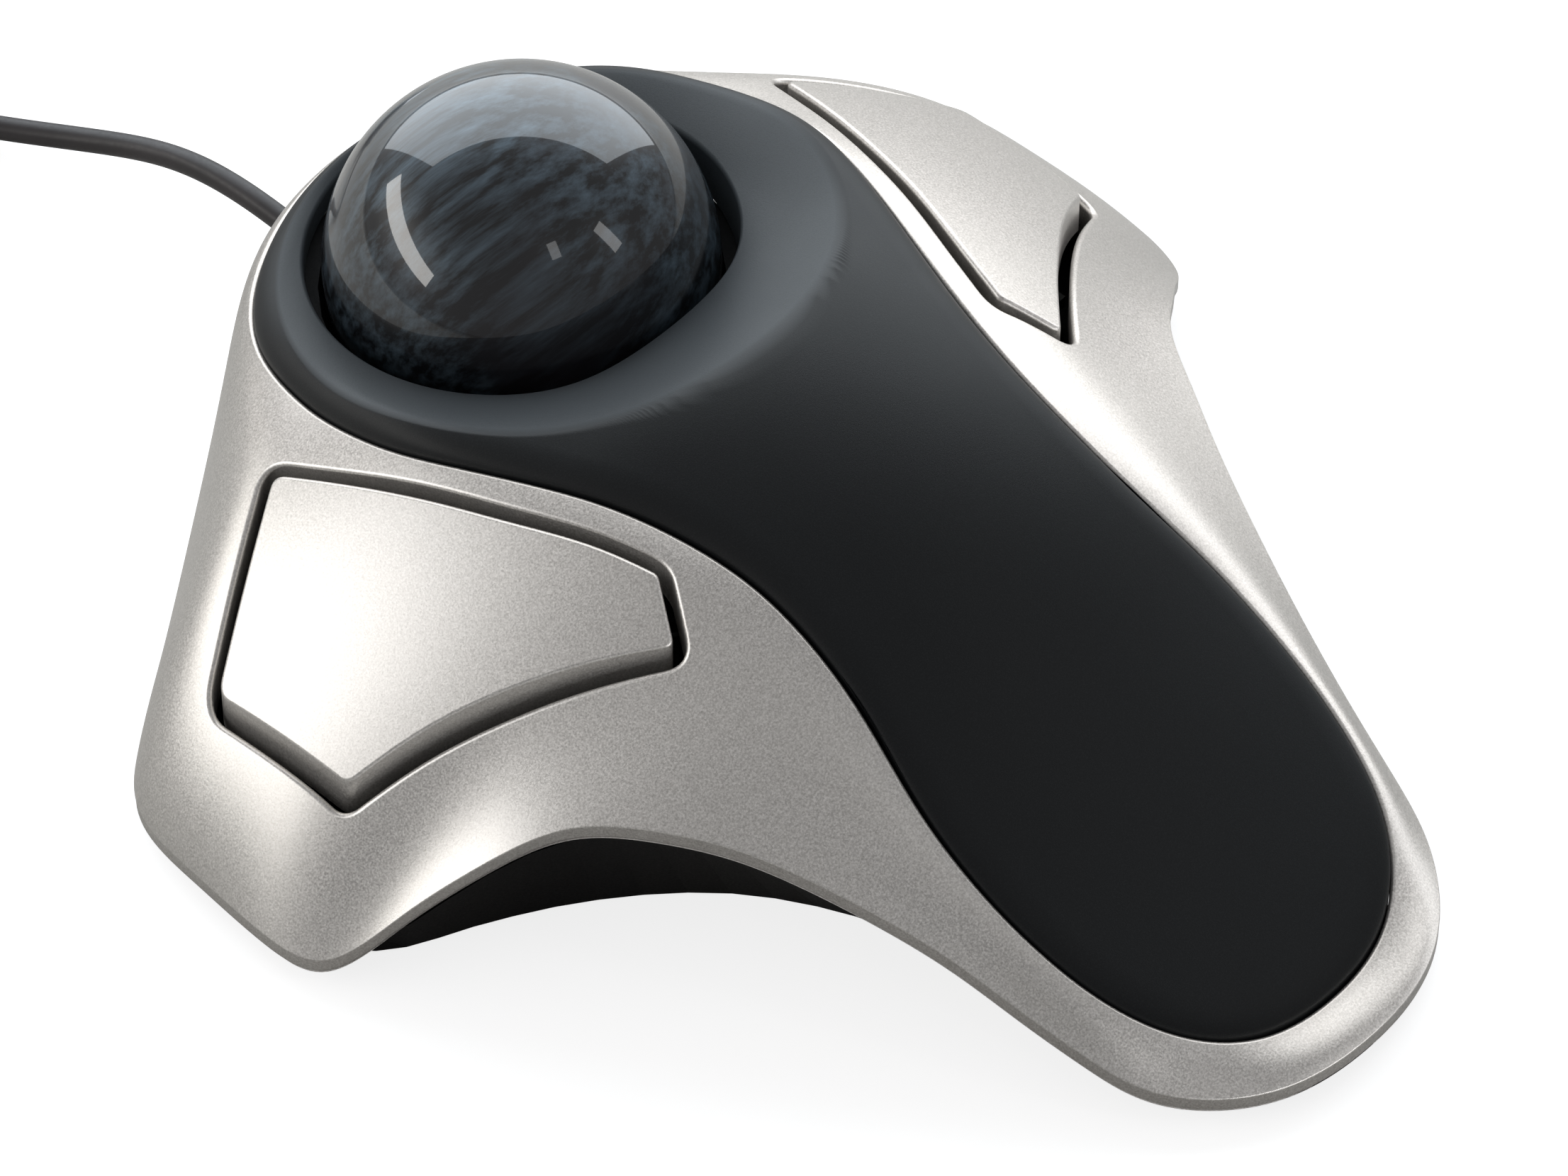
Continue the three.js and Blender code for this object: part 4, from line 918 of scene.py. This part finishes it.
for node, obj in frame["nodes"].items():
    obj.data.materials.clear()
    obj.data.materials.append(MATERIALS[SLOT_OF[node]])
    obj.data.shade_smooth()
    obj.data.set_sharp_from_angle(angle=math.radians(CRISP_ANGLE))

piece("top_shell", *mirror_arrays(*shell_half()))

cover_points, cover_normals, cover_faces, dish_sheen_weight = cover_arrays()
cover = piece("centre_cover", cover_points, cover_normals, cover_faces)
# The dish attribute carries the cover's painted sheen to its material.
dish_sheen_layer = cover.data.attributes.new("dish", "FLOAT", "POINT")
dish_sheen_layer.data.foreach_set("value", dish_sheen_weight.astype(np.float32))

key_points, key_normals, key_faces = key_arrays()
piece("right_button", key_points, key_normals, key_faces)
flip = np.array([-1, 1, 1])
piece("left_button", key_points * flip, key_normals * flip, [face[::-1] for face in key_faces])

# ---------------------------------------------------------------- ball, lead, plug, feet, screws and label

def crisp_piece(node, points, faces):
    """A piece shaded smooth, with its sharp edges kept."""
    obj = piece(node, points, None, faces)
    obj.data.set_sharp_from_angle(angle=math.radians(CRISP_ANGLE))
    return obj


def capped(rows, sheet, first_tip, last_tip):
    """Closed rows of vertices joined in order, with a fan to a point at each end."""
    sheet.stack(rows)
    for tip, row in ((first_tip, rows[0][::-1]), (last_tip, rows[-1])):
        middle = int(sheet.add(np.array([tip], float), (0, 0, 1))[0])
        sheet.faces += [[int(a), int(b), middle] for a, b in zip(row, np.roll(row, -1))]
    points, _, faces = sheet.arrays()
    return points, faces


def turned(profile, sides=48):
    """A solid turned about Z from (radius, height) pairs, from the axis below to the axis above."""
    sheet = Sheet()
    angle = np.linspace(0, 2 * np.pi, sides, endpoint=False)
    ring = np.stack([np.cos(angle), np.sin(angle)], -1)
    rows = [sheet.add(lift(ring * radius, height), (0, 0, 1)) for radius, height in profile[1:-1]]
    return capped(rows, sheet, (0, 0, profile[0][1]), (0, 0, profile[-1][1]))


def ball_arrays():
    angle = np.linspace(0, np.pi, BALL_RINGS + 1)
    return turned([(BALL_RADIUS * math.sin(a), BALL_Z - BALL_RADIUS * math.cos(a)) for a in angle], BALL_SEGMENTS)


def cable_arrays():
    path = open_curve(CABLE_PATH, CABLE_SPACING)
    along = unit(np.gradient(path, axis=0))
    side = unit(np.cross(along, (0, 0, 1)))
    top = np.cross(side, along)
    sheet = Sheet()
    angle = np.linspace(0, 2 * np.pi, CABLE_SIDES, endpoint=False)[:, None]
    ring = [p + CABLE_RADIUS * (np.cos(angle) * s + np.sin(angle) * t) for p, s, t in zip(path, side, top)]
    rows = [sheet.add(points, (0, 0, 1)) for points in ring]
    return capped(rows[::-1], sheet, path[-1], path[0])


def relief_arrays():
    """A flange and neck inside the shell, then a tapered sleeve with ribs."""
    flange, flange_end = RELIEF_FLANGE
    neck = RELIEF_NECK_RADIUS
    profile = [(0, 0), (flange, 0), (flange, flange_end), (neck, flange_end), (neck, RELIEF_NECK_END)]
    profile.append((neck - 0.1, RELIEF_NECK_END + 0.3))
    for k in range(RELIEF_RIBS):
        start = RELIEF_RIB_START + k
        radius = RELIEF_RIB_RADIUS - RELIEF_RIB_TAPER * k
        groove = radius - RELIEF_RIB_DEPTH
        profile += [(radius, start), (radius, start + 0.55), (groove, start + 0.65), (groove, start + 0.95)]
    profile += [(RELIEF_TIP_RADIUS, RELIEF_LENGTH - 0.2), (RELIEF_TIP_RADIUS - 0.22, RELIEF_LENGTH)]
    points, faces = turned([*profile, (0, RELIEF_LENGTH)])
    return np.stack([points[:, 0], points[:, 2], -points[:, 1]], -1) + RELIEF_FOOT, faces


def rounded_rectangle(width, height, radius, steps=6):
    """Rounded outline round the origin, as pairs, turning from the first axis to the second."""
    angle = np.radians(np.linspace(0, 90, steps + 1))
    corners = []
    for k, (y, z) in enumerate([(1, 1), (-1, 1), (-1, -1), (1, -1)]):
        turn = angle + k * math.pi / 2
        middle = np.array([y * (width / 2 - radius), z * (height / 2 - radius)])
        corners.append(middle + radius * np.stack([np.cos(turn), np.sin(turn)], -1))
    return np.vstack(corners)


def bar_rows(sheet, start, centre, size, radius, stops):
    """Rounded rectangles along +X at (distance, inset) stops."""
    rows = []
    for distance, inset in stops:
        outline = rounded_rectangle(size[0] - 2 * inset, size[1] - 2 * inset, max(radius - inset, 0.15))
        x = np.full(len(outline), start + distance)
        rows.append(sheet.add(np.column_stack([x, outline + centre]), (0, 0, 1)))
    return rows


def overmould_arrays():
    """The plug's grip: a rounded bar with ribs near the lead."""
    width, thickness, length = PLUG_SIZE
    stops = [(0, 2.2), (0.25, 1.3), (0.9, 0.6), (2, 0.25), (3.2, 0.1)]
    for k in range(PLUG_RIBS):
        rib = PLUG_RIB_START + PLUG_RIB_PITCH * k
        stops += [(rib, 0.05), (rib + 0.2, PLUG_RIB_DEPTH), (rib + 0.8, PLUG_RIB_DEPTH), (rib + 1.0, 0.05)]
    stops += [(12, 0), (length - 0.8, 0), (length - 0.25, 0.2), (length, 0.7)]
    sheet = Sheet()
    rows = bar_rows(sheet, PLUG_X, PLUG_CENTRE, (width, thickness), PLUG_CORNER_RADIUS, stops)
    return capped(rows, sheet, (PLUG_X, *PLUG_CENTRE), (PLUG_X + length, *PLUG_CENTRE))


def plug_shell_arrays():
    """The plug's metal tube, open at its tip."""
    width, thickness, length = PLUG_SHELL_SIZE
    wall = PLUG_SHELL_WALL
    stops = [(0.1, 0), (length - 0.2, 0), (length, 0.12), (length, 0.3), (length - 0.3, wall), (0.1, wall)]
    sheet = Sheet()
    rows = bar_rows(sheet, PLUG_X + PLUG_SIZE[2], PLUG_CENTRE, (width, thickness), PLUG_SHELL_RADIUS, stops)
    sheet.stack(rows + rows[:1])
    points, _, faces = sheet.arrays()
    return points, faces


def foot_arrays(x, y, radius, stretch):
    """A round or oval foot with a slightly sunk middle and a rounded edge."""
    points, faces = turned([
        (0, FOOT_GROOVE_DEPTH), (radius - 1.1, FOOT_GROOVE_DEPTH), (radius - 0.9, 0), (radius - 0.35, 0),
        (radius - 0.1, 0.1), (radius, 0.35), (radius, FOOT_HEIGHT), (0, FOOT_HEIGHT),
    ], 64)
    return points * (stretch, 1, 1) + (x, y, 0), faces


def screw_arrays(x, y):
    """A case screw seen from below: a rounded pan head with a cross recess."""
    head = SCREW_HEAD_RADIUS
    face = [(0, RECESS_DEPTH), *((radius, 0) for radius in RECESS_RINGS)]
    edge = [(head - 0.15, 0.06), (head - 0.03, 0.2), (head, 0.4), (head, SCREW_HEAD_HEIGHT)]
    shank = [(SCREW_SHANK_RADIUS, SCREW_HEAD_HEIGHT), (SCREW_SHANK_RADIUS, SCREW_LENGTH - 0.6)]
    points, faces = turned([*face, *edge, *shank, (SCREW_TIP_RADIUS, SCREW_LENGTH), (0, SCREW_LENGTH)], 64)
    across, along = np.sort(np.abs(points[:, :2]), axis=1).T
    depth = RECESS_DEPTH * (1 - smoothstep(across, *RECESS_WIDTH_EASE)) * (1 - smoothstep(along, *RECESS_LENGTH_EASE))
    on_face = points[:, 2] < 0.05
    points[on_face, 2] = depth[on_face]
    return points + (x, y, SCREW_FACE_Z), faces


def label_arrays():
    """A thin sheet with rounded corners and a border pressed into it."""
    width, depth, thickness = LABEL_SIZE
    sheet = Sheet()
    stops = [(1.6, 0), (1.5, 0.05), (1.1, 0.05), (1.0, 0), (0.05, 0), (0, 0.05), (0, thickness)]
    rows = []
    for inset, height in stops:
        outline = rounded_rectangle(width - 2 * inset, depth - 2 * inset, 1.8 - inset / 2)
        plan = outline + (0, LABEL_Y)
        rows.append(sheet.add(lift(plan, FLOOR_BOTTOM - thickness + height), (0, 0, 1)))
    return capped(rows, sheet, (0, LABEL_Y, FLOOR_BOTTOM - thickness), (0, LABEL_Y, FLOOR_BOTTOM))


crisp_piece("ball", *ball_arrays())
crisp_piece("cable", *cable_arrays())
crisp_piece("strain_relief", *relief_arrays())
crisp_piece("plug_overmould", *overmould_arrays())
crisp_piece("plug_shell", *plug_shell_arrays())
crisp_piece("underside_label", *label_arrays())
for foot_name, foot_place in FEET.items():
    crisp_piece(foot_name, *foot_arrays(*foot_place))
for screw_name, screw_spot in SCREW_SPOTS.items():
    crisp_piece(screw_name, *screw_arrays(*screw_spot))

# ---------------------------------------------------------------- floor, light and camera

AIM = Vector((-0.4, -36.1, 8.5)) * MM
CAMERA_DISTANCE = 0.8
CAMERA_AZIMUTH = math.radians(47.26)
CAMERA_ELEVATION = math.radians(49.33)
CAMERA_ROLL = math.radians(0.18)
CAMERA_LENS = 184.2
LIGHT_TARGET = Vector((0, -0.02, 0.02))
FLOOR_REACH = 6.0
SILVER_PIECES = ("top_shell_surface", "left_button_surface", "right_button_surface")

# What each light reaches | name | azimuth and elevation in degrees | distance | size | power | tint
LIGHTS = [
    ("EXCLUDE", "back_softbox", 225, 30, 1.0, (2.0, 1.1), 17.0, (0.88, 0.95, 1.0)),
    ("ALL", "left_strip", 134, 21, 0.9, (1.0, 0.15), 2.4, (1.0, 0.98, 0.94)),
    ("ALL", "right_window", -25, 36, 1.0, (0.12, 0.3), 0.25),
    ("ALL", "front_card", 17, 49, 1.2, (0.12, 0.2), 0.12),
    ("INCLUDE", "silver_back", 235, 34, 1.0, (2.0, 1.1), 18.0),
    ("INCLUDE", "silver_key", 128, 36, 1.0, (0.6, 0.4), 2.4),
    ("INCLUDE", "silver_fill", 70, 62, 1.1, (1.2, 1.0), 0.5, (1.0, 0.97, 0.93)),
    ("INCLUDE", "silver_side", 300, 10, 1.1, (0.9, 0.4), 2.2, (0.97, 0.98, 1.0)),
    ("INCLUDE", "silver_low", 5, 7, 1.0, (1.4, 0.15), 4.5),
]


def direction(azimuth, elevation):
    """Unit vector from the object towards a place at that azimuth, turning from -Y towards -X, and elevation."""
    flat = math.cos(elevation)
    return Vector((-math.sin(azimuth) * flat, -math.cos(azimuth) * flat, math.sin(elevation)))


def facing(obj, target, place, roll=0.0):
    obj.location = place
    turn = (place - target).to_track_quat("Z", "Y")
    obj.rotation_euler = (turn.to_matrix() @ Matrix.Rotation(roll, 3, "Z")).to_euler()


def area_light(name, azimuth, elevation, distance, size, power, tint=(1, 1, 1)):
    data = bpy.data.lights.new(name, "AREA")
    data.shape = "RECTANGLE"
    data.size, data.size_y = size
    data.energy = power
    data.color = tint
    obj = bpy.data.objects.new(name, data)
    bpy.context.scene.collection.objects.link(obj)
    place = LIGHT_TARGET + distance * direction(math.radians(azimuth), math.radians(elevation))
    facing(obj, LIGHT_TARGET, place)
    return obj


def link_light(light, state):
    """The light reaches only the silver pieces (INCLUDE), or everything but them (EXCLUDE).

    The paint and the dark pieces are lit apart, so their balance belongs to this light and not to the materials alone.
    """
    group = bpy.data.collections.new(f"{light.name}_receivers")
    for name in SILVER_PIECES:
        group.objects.link(bpy.data.objects[name])
    for entry in group.collection_objects:
        entry.light_linking.link_state = state
    light.light_linking.receiver_collection = group


def seen_or_lit(tree, lit, seen):
    """A colour that differs between what the camera sees and what lights the object."""
    path = tree.nodes.new("ShaderNodeLightPath")
    mix = tree.nodes.new("ShaderNodeMix")
    mix.data_type = "RGBA"
    mix.inputs[6].default_value = lit
    mix.inputs[7].default_value = seen
    tree.links.new(path.outputs["Is Camera Ray"], mix.inputs[0])
    return mix.outputs[2]


def floor():
    """A pale sheet that glows a little to the camera, so that shadows on it stay faint."""
    data = bpy.data.meshes.new("floor")
    corners = [(x * FLOOR_REACH, y * FLOOR_REACH, 0) for x, y in ((-1, -1), (1, -1), (1, 1), (-1, 1))]
    data.from_pydata(corners, [], [(0, 1, 2, 3)])
    n = Nodes("floor_paper")
    n.set(Base_Color=seen_or_lit(n.tree, color(0.62, 0.6, 0.57), color(0.5, 0.5, 0.5)))
    n.set(Roughness=n.span(n.noise(40, 2), 0.8, 0.9), Specular_IOR_Level=0.1)
    n.set(Emission_Color=seen_or_lit(n.tree, color(0, 0, 0), color(0.8, 0.8, 0.8)), Emission_Strength=1.0)
    data.materials.append(n.material)
    obj = bpy.data.objects.new("floor", data)
    bpy.context.scene.collection.objects.link(obj)


def world():
    """White to the camera, a dim studio to everything that reflects it."""
    data = bpy.data.worlds.new("studio")
    data.use_nodes = True
    background = data.node_tree.nodes["Background"]
    shade = seen_or_lit(data.node_tree, color(0.24, 0.241, 0.247), color(1, 1, 1))
    data.node_tree.links.new(shade, background.inputs["Color"])
    bpy.context.scene.world = data


def camera():
    data = bpy.data.cameras.new("camera")
    data.sensor_width = 36
    data.lens = CAMERA_LENS
    data.clip_start = 0.01
    obj = bpy.data.objects.new("camera", data)
    bpy.context.scene.collection.objects.link(obj)
    place = AIM + CAMERA_DISTANCE * direction(CAMERA_AZIMUTH, CAMERA_ELEVATION)
    facing(obj, AIM, place, CAMERA_ROLL)
    bpy.context.scene.camera = obj


floor()
world()
for receivers, *settings in LIGHTS:
    light = area_light(*settings)
    if receivers != "ALL":
        link_light(light, receivers)
camera()
bpy.context.scene.view_settings.view_transform = "Standard"
